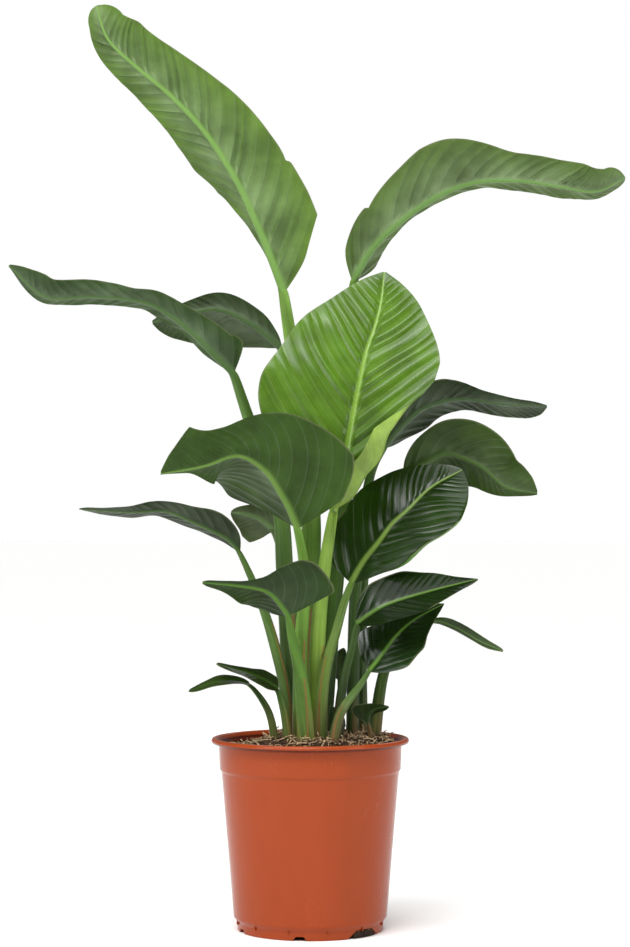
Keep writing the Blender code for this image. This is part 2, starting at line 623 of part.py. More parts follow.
def drainage_tool():
    """The notches in the foot ring and the holes in the floor, as one cutter."""
    shape = bmesh.new()
    up = np.array((0, 0, 1))
    below = -0.002
    notches = [(degrees, NOTCH_WIDTH, NOTCH_HEIGHT) for degrees in NOTCH_ANGLES]
    notches.append((GAP_ANGLE, GAP_WIDTH, GAP_HEIGHT))
    for degrees, width, height in notches:
        out = outward(degrees)
        side = outward(degrees + 90)
        near_top = width / 2 * NOTCH_TOP_SHARE
        outline = (
            (-width / 2, below),
            (width / 2, below),
            (near_top, height),
            (-near_top, height),
        )
        sagitta = FOOT_RADIUS - math.sqrt(FOOT_RADIUS**2 - width**2 / 4)
        ends = []
        for distance in (FOOT_RADIUS - FOOT_RING - 0.002 - sagitta, BODY_RADIUS_BOTTOM + 0.002):
            ends.append([out * distance + side * x + up * z for x, z in outline])
        add_prism(shape, *ends)
    for index in range(HOLE_COUNT):
        middle = outward(index * 360 / HOLE_COUNT + 22) * (FOOT_RADIUS - HOLE_INSET)
        circle = [middle + outward(turn) * HOLE_RADIUS for turn in range(0, 360, 36)]
        low = [point + up * (FLOOR_BOTTOM - 0.003) for point in circle]
        high = [point + up * (FLOOR_TOP + 0.002) for point in circle]
        add_prism(shape, low, high)
    bmesh.ops.recalc_face_normals(shape, faces=shape.faces)
    mesh = bpy.data.meshes.new("drainage_tool")
    shape.to_mesh(mesh)
    shape.free()
    return cutter("drainage_tool", mesh)


def build_pot():
    terracotta = plain_material("terracotta_plastic", (0.52, 0.115, 0.045), 0.42)
    pot = revolve("nursery_pot", pot_profile(), terracotta)
    cut(pot, drainage_tool())
    return pot


def build_soil():
    peat = plain_material("potting_soil", (0.035, 0.022, 0.014), 0.95)
    low = FLOOR_TOP + SOIL_GAP
    bend = FOOT_TOP + 0.001
    profile = (
        (0.0, SOIL_TOP),
        (inner_radius(SOIL_TOP) - 2 * SOIL_GAP, SOIL_TOP),
        (inner_radius(bend) - 2 * SOIL_GAP, bend),
        (FOOT_RADIUS - WALL - 2 * SOIL_GAP, low),
        (0.0, low),
    )
    return revolve("potting_soil", profile, peat)


def build_roots():
    """A clump of root and peat that shows in the wide gap of the foot ring."""
    brown = plain_material("root_tuft", (0.12, 0.06, 0.03), 0.9)
    height = GAP_HEIGHT - 2 * ROOT_CLEARANCE
    steps = 6
    points = []
    for step in range(steps + 1):
        share = step / steps - 0.5
        out = outward(GAP_ANGLE + math.degrees(share * ROOT_SPAN / FOOT_RADIUS))
        rise = ROOT_CLEARANCE + height * (0.55 + 0.4 * math.cos(math.pi * share))
        inner = FOOT_RADIUS - FOOT_RING
        outer = FOOT_RADIUS + 0.001
        section = ((inner, ROOT_CLEARANCE), (outer, ROOT_CLEARANCE), (outer, rise), (inner, rise))
        points += [out * radius + np.array((0, 0, z)) for radius, z in section]
    mesh = mesh_from("root_tuft", points, tube_faces(steps + 1, 4))
    return add_object("root_tuft", mesh, brown)


def build_leaf(leaf):
    green = plain_material(leaf.name + "_blade", leaf.colour, 0.35)
    stem = plain_material(leaf.name + "_stalk", tuple(1.15 * c for c in leaf.colour), 0.4)
    length = np.linalg.norm(np.diff(np.array(leaf.midrib), axis=0), axis=1).sum()
    rows = max(7, round(length / 0.028))
    columns = 3 if max(leaf.left.reach) > 0.03 else 2
    points = planted(blade_points(leaf, rows, columns)).reshape(-1, 3)
    mesh = mesh_from(leaf.name + "_blade", points, grid_faces(rows, 2 * columns))
    blade = add_object(leaf.name + "_blade", mesh, green)
    thicken = blade.modifiers.new("thickness", "SOLIDIFY")
    thicken.thickness = BLADE_THICKNESS
    thicken.offset = 0
    rings = planted(stalk_rings(leaf, STALK_RINGS, STALK_SIDES)).reshape(-1, 3)
    mesh = mesh_from(leaf.name + "_stalk", rings, tube_faces(STALK_RINGS, STALK_SIDES))
    stalk = add_object(leaf.name + "_stalk", mesh, stem)
    return blade, stalk


def main():
    clear_scene()
    build_pot()
    build_soil()
    build_roots()
    for leaf in LEAVES:
        build_leaf(leaf)


if __name__ == "__main__":
    main()
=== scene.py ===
"""The looks of a potted bird of paradise: its nursery pot, soil, roots, leaf blades and stalks.

Metres, +Z up, the pot's foot on z = 0, its axis on the Z axis and the viewer at -Y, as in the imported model.
"""

import math
from dataclasses import dataclass

import bmesh
import bpy
import numpy as np
from bpy.props import FloatProperty, FloatVectorProperty, IntProperty, PointerProperty
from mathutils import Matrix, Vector


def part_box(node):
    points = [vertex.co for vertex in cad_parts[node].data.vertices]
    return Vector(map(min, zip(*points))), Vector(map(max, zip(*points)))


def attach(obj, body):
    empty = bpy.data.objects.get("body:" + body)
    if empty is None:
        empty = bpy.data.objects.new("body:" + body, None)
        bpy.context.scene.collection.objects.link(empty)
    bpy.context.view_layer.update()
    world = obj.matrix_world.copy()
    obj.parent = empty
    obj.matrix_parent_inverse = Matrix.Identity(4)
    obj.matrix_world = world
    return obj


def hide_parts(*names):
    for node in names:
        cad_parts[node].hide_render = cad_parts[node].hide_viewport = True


bl_info = {
    "name": "Potted bird of paradise",
    "version": (1, 0, 0),
    "blender": (4, 5, 0),
    "location": "View3D > Sidebar > Plant",
    "description": "Builds a potted bird of paradise piece by piece round its packed model",
    "category": "Object",
}

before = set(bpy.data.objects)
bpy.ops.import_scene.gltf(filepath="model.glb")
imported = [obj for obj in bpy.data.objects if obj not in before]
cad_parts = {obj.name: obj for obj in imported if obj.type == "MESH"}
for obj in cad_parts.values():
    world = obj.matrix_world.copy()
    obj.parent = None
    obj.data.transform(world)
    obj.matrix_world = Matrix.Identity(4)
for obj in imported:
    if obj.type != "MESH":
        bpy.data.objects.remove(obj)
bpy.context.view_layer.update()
_, POT_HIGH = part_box("nursery_pot")
SOIL_LOW, SOIL_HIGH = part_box("potting_soil")
RIM_RADIUS = POT_HIGH.x
POT_HEIGHT = POT_HIGH.z
SOIL_TOP = SOIL_HIGH.z
SOIL_RADIUS = SOIL_HIGH.x
LIP_DEPTH = 0.006  # height of the pot's rolled lip


# ---------------------------------------------------------------- the plant, as its source gives it
@dataclass
class Half:
    """One half of a blade, from the midrib to a margin."""

    reach: tuple  # from midrib to margin along the surface, at each of STATIONS
    fold: tuple  # degrees of rise towards the upper face, at base, middle and tip
    curl: tuple = (0, 0, 0)  # further degrees of rise between midrib and margin
    lobe: float = 0.0  # how far the rounded base bulges back past the stalk's end
    hem: tuple = (0, 0)  # width of margin folded over the upper face, evenly spaced from base to tip


@dataclass
class Leaf:
    name: str
    midrib: tuple  # points from the stalk to the tip, as (x, y, height above the soil)
    faces: tuple  # directions the upper face looks in, at base, middle and tip
    left: Half  # seen from the stalk with the upper face up
    right: Half
    stalk: tuple  # points from the soil to short of the blade, which ends it
    base_size: tuple  # the stalk's width and depth at the soil
    top_size: tuple  # and just under the blade


STATIONS = (0.0, 0.08, 0.25, 0.45, 0.65, 0.85, 0.95, 1.0)  # shares of a blade's length
LOBE_SHARE = 0.3  # and the share of it that a lobe takes
HEM_BEND = 0.012  # length of the bend into a hem
HEM_TURN = math.radians(150)
STALK_TAPER = 0.6
STALK_ROOT = 0.006  # how far a stalk goes on below the soil's top
STALK_SIDES = 60
RING_SPACING = 0.0028  # along a stalk
COLUMN_SPACING = 0.0026  # across half a blade
SHARE_OF_RIB = (0.35, 0.7, 1.0, 1.4)  # columns close together over the midrib
USUAL_BLADE = 0.26  # length of a blade that has the set pleat spacing
CROWDING = 0.62  # how much the pleats crowd together towards the tip

LEAVES = (
    Leaf(
        "leaf_01",
        midrib=((-0.029, 0.035, 0.487), (-0.041, 0.032, 0.519), (-0.054, 0.027, 0.551),
            (-0.079, 0.016, 0.604), (-0.111, 0.005, 0.653), (-0.147, -0.003, 0.691),
            (-0.186, -0.010, 0.723), (-0.214, -0.015, 0.750), (-0.226, -0.018, 0.785)),
        faces=((0.3, 1, 0.1), (0.2, 1, 0.2), (0.1, 1, 0.3)),
        left=Half((0.002, 0.036, 0.062, 0.056, 0.044, 0.035, 0.022, 0.005), (5, 5, 5)),
        right=Half((0.002, 0.006, 0.022, 0.046, 0.034, 0.023, 0.015, 0.005), (50, 30, 10)),
        stalk=((-0.008, 0.022, 0), (-0.005, 0.022, 0.135), (0.001, 0.026, 0.242),
            (-0.012, 0.035, 0.371)),
        base_size=(0.026, 0.016),
        top_size=(0.0105, 0.0080),
    ),
    Leaf(
        "leaf_02",
        midrib=((0.046, 0.020, 0.497), (0.061, 0.017, 0.524), (0.080, 0.012, 0.546),
            (0.113, 0.005, 0.572), (0.145, 0.000, 0.590), (0.179, -0.005, 0.600),
            (0.222, -0.011, 0.600), (0.264, -0.018, 0.593), (0.301, -0.024, 0.587),
            (0.331, -0.028, 0.602)),
        faces=((-0.5, 0.8, 0.4), (-0.2, 0.7, 0.7), (0, 0.6, 0.8)),
        left=Half((0.002, 0.030, 0.014, 0.018, 0.026, 0.020, 0.014, 0.004), (30, 30, 15)),
        right=Half((0.002, 0.027, 0.042, 0.054, 0.031, 0.031, 0.022, 0.006), (10, 20, 15)),
        stalk=((0.013, 0.038, 0), (0.024, 0.038, 0.134), (0.037, 0.038, 0.263),
            (0.047, 0.032, 0.370)),
        base_size=(0.018, 0.012),
        top_size=(0.0100, 0.0080),
    ),
    Leaf(
        "leaf_03",
        midrib=((-0.081, -0.015, 0.397), (-0.101, -0.023, 0.416), (-0.122, -0.032, 0.437),
            (-0.147, -0.042, 0.456), (-0.174, -0.052, 0.469), (-0.225, -0.068, 0.473),
            (-0.272, -0.082, 0.471), (-0.308, -0.092, 0.502)),
        faces=((0.4, 0.8, 0.4), (0.2, 0.45, 0.9), (0, 0.7, 0.7)),
        left=Half((0.002, 0.034, 0.024, 0.020, 0.024, 0.024, 0.012, 0.002), (15, 10, 10)),
        right=Half((0.002, 0.010, 0.014, 0.018, 0.016, 0.010, 0.006, 0.002), (15, 0, 10)),
        stalk=((-0.016, -0.008, 0), (-0.022, -0.006, 0.115), (-0.027, -0.005, 0.189),
            (-0.031, -0.005, 0.247), (-0.045, -0.007, 0.297), (-0.061, -0.010, 0.337)),
        base_size=(0.023, 0.014),
        top_size=(0.0090, 0.0080),
    ),
    Leaf(
        "leaf_04",
        midrib=((-0.032, 0.055, 0.429), (-0.063, 0.055, 0.453), (-0.098, 0.050, 0.469),
            (-0.130, 0.045, 0.465), (-0.170, 0.035, 0.454)),
        faces=((0.3, 0.8, 0.5), (0.1, 0.8, 0.6), (0, 0.8, 0.6)),
        left=Half((0.002, 0.010, 0.018, 0.020, 0.016, 0.010, 0.005, 0.002), (20, 20, 20)),
        right=Half((0.002, 0.012, 0.034, 0.046, 0.042, 0.028, 0.014, 0.002), (0, 0, 0)),
        stalk=((0.002, 0.055, 0), (0.002, 0.055, 0.133), (-0.003, 0.058, 0.263),
            (-0.011, 0.058, 0.350)),
        base_size=(0.016, 0.012),
        top_size=(0.0080, 0.0070),
    ),
    Leaf(
        "leaf_05",
        midrib=((0.024, -0.048, 0.250), (0.034, -0.042, 0.294), (0.042, -0.038, 0.336),
            (0.046, -0.034, 0.358), (0.052, -0.027, 0.387), (0.059, -0.018, 0.419),
            (0.068, -0.010, 0.445), (0.075, 0.000, 0.472), (0.079, 0.012, 0.506)),
        faces=((-0.1, -1, 0.1), (-0.1, -1, 0.2), (-0.1, -1, 0.3)),
        left=Half((0.002, 0.030, 0.084, 0.108, 0.084, 0.052, 0.026, 0.002), (10, 10, 5)),
        right=Half((0.002, 0.036, 0.065, 0.068, 0.080, 0.046, 0.020, 0.002), (15, 12, 5),
            hem=(0.008, 0.031, 0.026, 0.002, 0, 0, 0)),
        stalk=((0.005, -0.030, 0), (0.006, -0.031, 0.053), (0.007, -0.036, 0.106),
            (0.011, -0.043, 0.158), (0.016, -0.048, 0.200)),
        base_size=(0.020, 0.012),
        top_size=(0.0090, 0.0080),
    ),
    Leaf(
        "leaf_06",
        midrib=((-0.013, -0.062, 0.233), (-0.021, -0.066, 0.252), (-0.029, -0.072, 0.267),
            (-0.046, -0.084, 0.292), (-0.073, -0.104, 0.307), (-0.107, -0.126, 0.296),
            (-0.149, -0.146, 0.288)),
        faces=((0.5, 0.8, 0.3), (0.3, 0.8, 0.5), (0.1, 0.8, 0.6)),
        left=Half((0.002, 0.060, 0.084, 0.072, 0.036, 0.042, 0.022, 0.002), (15, 10, 5)),
        right=Half((0.002, 0.026, 0.080, 0.068, 0.036, 0.006, 0.003, 0.002), (20, 15, 5)),
        stalk=((-0.010, -0.048, 0), (-0.010, -0.049, 0.107), (-0.006, -0.052, 0.159),
            (-0.007, -0.057, 0.200)),
        base_size=(0.017, 0.011),
        top_size=(0.0085, 0.0070),
    ),
    Leaf(
        "leaf_07",
        midrib=((0.078, 0.035, 0.319), (0.093, 0.031, 0.338), (0.110, 0.027, 0.354),
            (0.126, 0.022, 0.364), (0.160, 0.015, 0.371), (0.202, 0.004, 0.365),
            (0.250, -0.010, 0.362)),
        faces=((-0.4, 0.8, 0.4), (-0.2, 0.7, 0.7), (0, 0.7, 0.7)),
        left=Half((0.002, 0.020, 0.032, 0.026, 0.024, 0.026, 0.016, 0.002), (15, 15, 10)),
        right=Half((0.002, 0.015, 0.026, 0.029, 0.016, 0.008, 0.005, 0.002), (10, 5, 0)),
        stalk=((0.045, 0.032, 0), (0.048, 0.035, 0.156), (0.058, 0.038, 0.252),
            (0.066, 0.038, 0.295)),
        base_size=(0.014, 0.011),
        top_size=(0.0090, 0.0070),
    ),
    Leaf(
        "leaf_08",
        midrib=((0.101, 0.048, 0.289), (0.119, 0.044, 0.302), (0.133, 0.040, 0.309),
            (0.150, 0.036, 0.313), (0.183, 0.026, 0.299), (0.208, 0.017, 0.277),
            (0.241, 0.005, 0.270)),
        faces=((-0.3, 0.9, 0.3), (-0.2, 0.9, 0.4), (0, 0.9, 0.4)),
        left=Half((0.002, 0.014, 0.034, 0.032, 0.022, 0.008, 0.005, 0.002), (10, 10, 10)),
        right=Half((0.002, 0.016, 0.032, 0.042, 0.036, 0.030, 0.018, 0.003), (5, 5, 5)),
        stalk=((0.056, 0.046, 0), (0.055, 0.046, 0.112), (0.060, 0.048, 0.198),
            (0.081, 0.050, 0.252)),
        base_size=(0.013, 0.010),
        top_size=(0.0080, 0.0070),
    ),
    Leaf(
        "leaf_09",
        midrib=((0.043, -0.012, 0.175), (0.057, -0.013, 0.199), (0.073, -0.012, 0.219),
            (0.087, -0.008, 0.238), (0.103, -0.005, 0.252), (0.128, 0.005, 0.276),
            (0.162, 0.015, 0.295)),
        faces=((-0.3, -0.9, 0.4), (-0.3, -0.9, 0.4), (-0.2, -0.9, 0.5)),
        left=Half((0.002, 0.046, 0.052, 0.052, 0.045, 0.024, 0.012, 0.002), (10, 10, 5)),
        right=Half((0.002, 0.018, 0.045, 0.058, 0.066, 0.046, 0.026, 0.005), (10, 10, 5),
            hem=(0, 0.006, 0.009, 0.008, 0.009, 0.004, 0)),
        stalk=((0.011, -0.050, 0), (0.012, -0.049, 0.055), (0.017, -0.044, 0.091),
            (0.026, -0.035, 0.122), (0.035, -0.022, 0.153)),
        base_size=(0.014, 0.010),
        top_size=(0.0065, 0.0060),
    ),
    Leaf(
        "leaf_10",
        midrib=((0.048, -0.048, 0.134), (0.071, -0.052, 0.150), (0.094, -0.050, 0.159),
            (0.130, -0.045, 0.169), (0.175, -0.038, 0.180)),
        faces=((-0.3, -0.7, 0.6), (-0.2, -0.7, 0.7), (-0.1, -0.6, 0.8)),
        left=Half((0.002, 0.020, 0.033, 0.034, 0.024, 0.011, 0.005, 0.001), (10, 10, 5)),
        right=Half((0.002, 0.016, 0.028, 0.032, 0.025, 0.010, 0.005, 0.001), (10, 10, 5)),
        stalk=((0.028, -0.028, 0), (0.031, -0.030, 0.047), (0.036, -0.035, 0.080),
            (0.044, -0.042, 0.111)),
        base_size=(0.012, 0.009),
        top_size=(0.0055, 0.0050),
    ),
    Leaf(
        "leaf_11",
        midrib=((0.061, -0.038, 0.084), (0.075, -0.036, 0.101), (0.090, -0.028, 0.120),
            (0.110, -0.020, 0.137), (0.141, -0.010, 0.153)),
        faces=((-0.3, -0.8, 0.5), (-0.2, -0.8, 0.6), (-0.1, -0.7, 0.7)),
        left=Half((0.002, 0.020, 0.035, 0.024, 0.014, 0.007, 0.004, 0.001), (5, 5, 5)),
        right=Half((0.002, 0.018, 0.036, 0.036, 0.026, 0.012, 0.005, 0.001), (5, 5, 5)),
        stalk=((0.022, -0.063, 0), (0.029, -0.061, 0.037), (0.039, -0.055, 0.054),
            (0.052, -0.046, 0.070)),
        base_size=(0.012, 0.009),
        top_size=(0.0045, 0.0045),
    ),
    Leaf(
        "leaf_12",
        midrib=((0.128, 0.008, 0.134), (0.138, 0.006, 0.133), (0.158, 0.002, 0.125),
            (0.179, -0.004, 0.113), (0.203, -0.012, 0.103)),
        faces=((0, -0.5, 0.85), (0, -0.5, 0.85), (0, -0.45, 0.9)),
        left=Half((0.002, 0.006, 0.009, 0.009, 0.008, 0.005, 0.003, 0.001), (20, 20, 15)),
        right=Half((0.002, 0.006, 0.009, 0.010, 0.008, 0.006, 0.003, 0.001), (20, 20, 15)),
        stalk=((0.066, -0.003, 0), (0.074, 0.000, 0.062), (0.083, 0.003, 0.093),
            (0.103, 0.006, 0.120)),
        base_size=(0.015, 0.010),
        top_size=(0.0040, 0.0040),
    ),
    Leaf(
        "leaf_13",
        midrib=((-0.075, -0.015, 0.209), (-0.086, -0.022, 0.222), (-0.103, -0.030, 0.231),
            (-0.125, -0.038, 0.241), (-0.151, -0.048, 0.251), (-0.186, -0.060, 0.250),
            (-0.237, -0.078, 0.253)),
        faces=((0.4, 0.7, 0.5), (0.2, 0.4, 0.9), (0, 0.3, 0.9)),
        left=Half((0.002, 0.014, 0.030, 0.022, 0.016, 0.008, 0.005, 0.001), (10, 10, 10)),
        right=Half((0.002, 0.010, 0.018, 0.024, 0.022, 0.018, 0.009, 0.001), (10, 5, 5)),
        stalk=((-0.018, -0.024, 0), (-0.026, -0.023, 0.063), (-0.036, -0.022, 0.105),
            (-0.048, -0.020, 0.145), (-0.062, -0.017, 0.181)),
        base_size=(0.014, 0.010),
        top_size=(0.0055, 0.0050),
    ),
    Leaf(
        "leaf_14",
        midrib=((-0.040, 0.070, 0.231), (-0.053, 0.068, 0.242), (-0.066, 0.064, 0.247),
            (-0.086, 0.056, 0.250)),
        faces=((0.2, 0.9, 0.3), (0.1, 0.9, 0.4), (0, 0.9, 0.4)),
        left=Half((0.002, 0.012, 0.018, 0.016, 0.012, 0.008, 0.005, 0.002), (10, 10, 5)),
        right=Half((0.002, 0.020, 0.034, 0.032, 0.022, 0.012, 0.006, 0.002), (10, 10, 5)),
        stalk=((-0.018, 0.058, 0), (-0.021, 0.062, 0.111), (-0.029, 0.067, 0.187),
            (-0.034, 0.069, 0.214)),
        base_size=(0.011, 0.009),
        top_size=(0.0070, 0.0060),
    ),
    Leaf(
        "leaf_15",
        midrib=((-0.022, -0.088, 0.143), (-0.030, -0.092, 0.155), (-0.044, -0.100, 0.169),
            (-0.071, -0.112, 0.175), (-0.108, -0.128, 0.179)),
        faces=((0.4, 0.8, 0.3), (0.2, 0.8, 0.5), (0, 0.8, 0.6)),
        left=Half((0.002, 0.054, 0.058, 0.014, 0.006, 0.004, 0.003, 0.001), (15, 10, 5), lobe=0.016),
        right=Half((0.002, 0.022, 0.036, 0.030, 0.018, 0.008, 0.004, 0.001), (20, 10, 5)),
        stalk=((-0.003, -0.066, 0), (-0.007, -0.069, 0.056), (-0.012, -0.077, 0.093),
            (-0.019, -0.085, 0.124)),
        base_size=(0.019, 0.009),
        top_size=(0.0055, 0.0050),
    ),
    Leaf(
        "leaf_16",
        midrib=((-0.033, -0.052, 0.066), (-0.046, -0.056, 0.075), (-0.062, -0.062, 0.083),
            (-0.078, -0.068, 0.088), (-0.096, -0.075, 0.094)),
        faces=((0.3, -0.5, 0.8), (0.2, -0.5, 0.8), (0.1, -0.5, 0.9)),
        left=Half((0.002, 0.010, 0.018, 0.018, 0.012, 0.006, 0.003, 0.001), (10, 10, 5)),
        right=Half((0.002, 0.014, 0.014, 0.009, 0.006, 0.004, 0.003, 0.001), (15, 10, 5)),
        stalk=((-0.021, -0.061, 0), (-0.026, -0.058, 0.039), (-0.030, -0.054, 0.055)),
        base_size=(0.010, 0.008),
        top_size=(0.0060, 0.0050),
    ),
    Leaf(
        "leaf_17",
        midrib=((-0.063, -0.050, 0.072), (-0.078, -0.058, 0.076), (-0.098, -0.068, 0.075),
            (-0.124, -0.082, 0.066)),
        faces=((0.3, -0.5, 0.8), (0.2, -0.5, 0.8), (0.1, -0.5, 0.9)),
        left=Half((0.002, 0.005, 0.008, 0.009, 0.007, 0.006, 0.004, 0.001), (10, 10, 5)),
        right=Half((0.002, 0.004, 0.006, 0.008, 0.006, 0.004, 0.003, 0.001), (15, 10, 5)),
        stalk=((-0.035, -0.042, 0), (-0.041, -0.043, 0.036), (-0.050, -0.046, 0.055)),
        base_size=(0.009, 0.007),
        top_size=(0.0045, 0.0045),
    ),
    Leaf(
        "leaf_18",
        midrib=((0.060, -0.028, 0.029), (0.061, -0.031, 0.039), (0.069, -0.034, 0.045),
            (0.082, -0.038, 0.047)),
        faces=((-0.4, 0.8, 0.4), (-0.3, 0.8, 0.5), (-0.1, 0.8, 0.6)),
        left=Half((0.002, 0.005, 0.006, 0.008, 0.009, 0.006, 0.003, 0.001), (10, 10, 5)),
        right=Half((0.002, 0.016, 0.022, 0.014, 0.008, 0.004, 0.002, 0.001), (5, 5, 5)),
        stalk=((0.062, -0.026, 0), (0.063, -0.027, 0.022)),
        base_size=(0.006, 0.006),
        top_size=(0.0040, 0.0040),
    ),
    Leaf(
        "leaf_19",
        midrib=((0.032, 0.060, 0.068), (0.031, 0.060, 0.079), (0.032, 0.058, 0.092),
            (0.036, 0.054, 0.103)),
        faces=((0.1, -1, 0.1), (0, -1, 0.2), (0, -1, 0.2)),
        left=Half((0.002, 0.005, 0.007, 0.008, 0.007, 0.005, 0.003, 0.001), (10, 10, 5)),
        right=Half((0.002, 0.005, 0.007, 0.008, 0.007, 0.005, 0.003, 0.001), (10, 10, 5)),
        stalk=((0.032, 0.060, 0), (0.033, 0.061, 0.041)),
        base_size=(0.009, 0.008),
        top_size=(0.0050, 0.0040),
    ),
    Leaf(
        "leaf_20",
        midrib=((0.032, 0.006, 0.016), (0.029, 0.005, 0.027), (0.022, 0.003, 0.045)),
        faces=((-0.3, -0.9, 0.3), (-0.2, -0.9, 0.3), (-0.1, -0.9, 0.3)),
        left=Half((0.002, 0.004, 0.006, 0.007, 0.006, 0.004, 0.002, 0.001), (10, 10, 5)),
        right=Half((0.002, 0.005, 0.008, 0.009, 0.007, 0.004, 0.002, 0.001), (10, 10, 5)),
        stalk=((0.033, 0.007, 0), (0.032, 0.006, 0.014)),
        base_size=(0.007, 0.006),
        top_size=(0.0050, 0.0050),
    ),
)


# ---------------------------------------------------------------- what each leaf looks like close to
@dataclass
class Finish:
    """The look of one leaf: sRGB hex colours, and the small shapes of its surface in metres."""

    upper: str  # the blade's upper face
    under: str  # and its waxy underside
    stalk_low: str  # the stalk near the soil
    stalk_high: str  # and under the blade
    pleat: float = 0.0004  # depth of the pleats along the side veins
    ripple: float = 0.0012  # waves along the margins
    gloss: float = 0.34  # roughness of the upper face
    rib: str = "#5C7A38"  # the midrib on the face that is seen most
    shine: float = 0.22  # how much light the cuticle mirrors
    bloom: tuple = (0.0, 0.0)  # how much grey wax lies below beside the midrib, on the left and right halves
    blunt: bool = False  # the tip is round instead of pointed
    shaping: tuple = ()  # (side, share, depth, run, pointed): where a margin stands out or draws in
    tears: tuple = ()  # (side, share of the length, depth): nicks where a margin has split
    seams: tuple = ()  # (degrees round from the viewer, share it ends at): margins of the stalk's sheath


FINISHES = {
    "leaf_01": Finish(
        "#4D7429", "#4B6920", "#496822", "#6A8D3B", 0.0022, 0.0008, rib="#6C9444", shine=0.30,
        bloom=(0.60, 0.75), blunt=True,
        shaping=(
            (1, 0.17, 0.010, 0.022, True),
            (1, 0.90, 0.006, 0.020, False),
            (-1, 0.34, 0.005, 0.012, True),
        ),
        tears=((1, 0.335, 0.004),), seams=((35, 0.30),),
    ),
    "leaf_02": Finish(
        "#496E26", "#455E23", "#35501F", "#587A2F", 0.0022, 0.0010, rib="#5E843E", shine=0.30,
        bloom=(0.70, 0.60), blunt=True,
        shaping=((-1, 0.40, 0.004, 0.03, True), (1, 0.08, 0.004, 0.012, True)),
        tears=((-1, 0.20, 0.004),),
    ),
    "leaf_03": Finish(
        "#2C471D", "#2E471B", "#384D21", "#4B6A2B", 0.0015, 0.0010, rib="#4A6834",
        bloom=(0.60, 0.60),
        tears=((1, 0.12, 0.003),), seams=((48, 0.42),),
    ),
    "leaf_04": Finish(
        "#2A401D", "#2E411C", "#3A4F21", "#415B29", 0.0014, 0.0008, rib="#466034", bloom=(0.6, 0.6),
    ),
    "leaf_05": Finish(
        "#456819", "#7A9640", "#577422", "#73933B", 0.0016, 0.0008, 0.27, rib="#769A38", shine=0.42,
        shaping=((1, 0.50, -0.006, 0.04, False), (-1, 0.56, 0.003, 0.02, True)), seams=((62, 0.44),),
    ),
    "leaf_06": Finish(
        "#34501E", "#2B460C", "#44621F", "#5E842E", 0.0010, 0.0010, rib="#66883A",
        bloom=(0.06, 0.60),
        shaping=((1, 0.24, 0.006, 0.02, True), (1, 0.86, 0.008, 0.012, True)), seams=((40, 0.5),),
    ),
    "leaf_07": Finish(
        "#273F1F", "#203015", "#2C4219", "#405D26", 0.0016, 0.0008, rib="#3E5830",
        bloom=(0.60, 0.60),
    ),
    "leaf_08": Finish(
        "#304B1B", "#2B410F", "#2D441A", "#3F591E", 0.0010, 0.0008, rib="#48622E",
        bloom=(0.25, 0.25),
    ),
    "leaf_09": Finish(
        "#183008", "#4E7A2C", "#475426", "#526F2B", 0.0004, 0.0008, 0.20, rib="#7E9C46", shine=0.42,
        seams=((-42, 0.55),),
    ),
    "leaf_10": Finish(
        "#0F2007", "#3E5C2A", "#212D17", "#31491E", 0.0003, 0.0008, 0.20, rib="#54742E", shine=0.24,
    ),
    "leaf_11": Finish(
        "#162A0E", "#39552A", "#3A461F", "#3F5926", 0.0003, 0.0008, 0.20, rib="#628A34", shine=0.42,
        seams=((-30, 0.5),),
    ),
    "leaf_12": Finish(
        "#2C4019", "#4C6628", "#2F421A", "#3F5922", 0.0004, 0.0008, rib="#5C7A38",
    ),
    "leaf_13": Finish(
        "#223B16", "#1A2A0D", "#405824", "#476427", 0.0006, 0.0010, rib="#486630",
        bloom=(0.25, 0.25), seams=((50, 0.62),),
    ),
    "leaf_14": Finish(
        "#2C411E", "#374720", "#3A4B24", "#405429", 0.0005, 0.0008, rib="#5A7444", bloom=(0.5, 0.5),
    ),
    "leaf_15": Finish(
        "#274018", "#1B3207", "#46661F", "#44661E", 0.0005, 0.0010, rib="#4E7426", bloom=(0.2, 0.2),
        seams=((44, 0.55),),
    ),
    "leaf_16": Finish(
        "#172405", "#202F0A", "#3A521A", "#344F1C", 0.0004, 0.0006, rib="#2E4812",
    ),
    "leaf_17": Finish(
        "#21310C", "#22320A", "#3D561F", "#364F1E", 0.0003, 0.0005, rib="#2E4812",
    ),
    "leaf_18": Finish(
        "#223316", "#1B2C0C", "#273914", "#273914", 0.0002, 0.0004, rib="#2E441A",
    ),
    "leaf_19": Finish(
        "#3A4A2C", "#3F522E", "#273914", "#2D401A", 0.0002, 0.0004, rib="#4A5E32",
    ),
    "leaf_20": Finish(
        "#22341A", "#26381A", "#213212", "#213212", 0.0002, 0.0004, rib="#2E441A",
    ),
}


# ---------------------------------------------------------------- settings a user would change
class PotSettings(bpy.types.PropertyGroup):
    wall: FloatProperty(
        name="Wall", description="Thickness of the moulded wall",
        default=0.0022, subtype="DISTANCE", unit="LENGTH",
    )
    lip_depth: FloatProperty(
        name="Lip depth", description="Height of the rolled lip",
        default=LIP_DEPTH, subtype="DISTANCE", unit="LENGTH",
    )
    lip_overhang: FloatProperty(
        name="Lip overhang", description="How far the lip stands out past the band",
        default=0.0083, subtype="DISTANCE", unit="LENGTH",
    )
    colour: FloatVectorProperty(
        name="Colour", description="Linear colour of the plastic", subtype="COLOR", size=3,
        default=(0.300, 0.0460, 0.0080), min=0, max=1,
    )
    tick_count: IntProperty(name="Foot ticks", description="Small ribs round the foot", default=12, min=0)


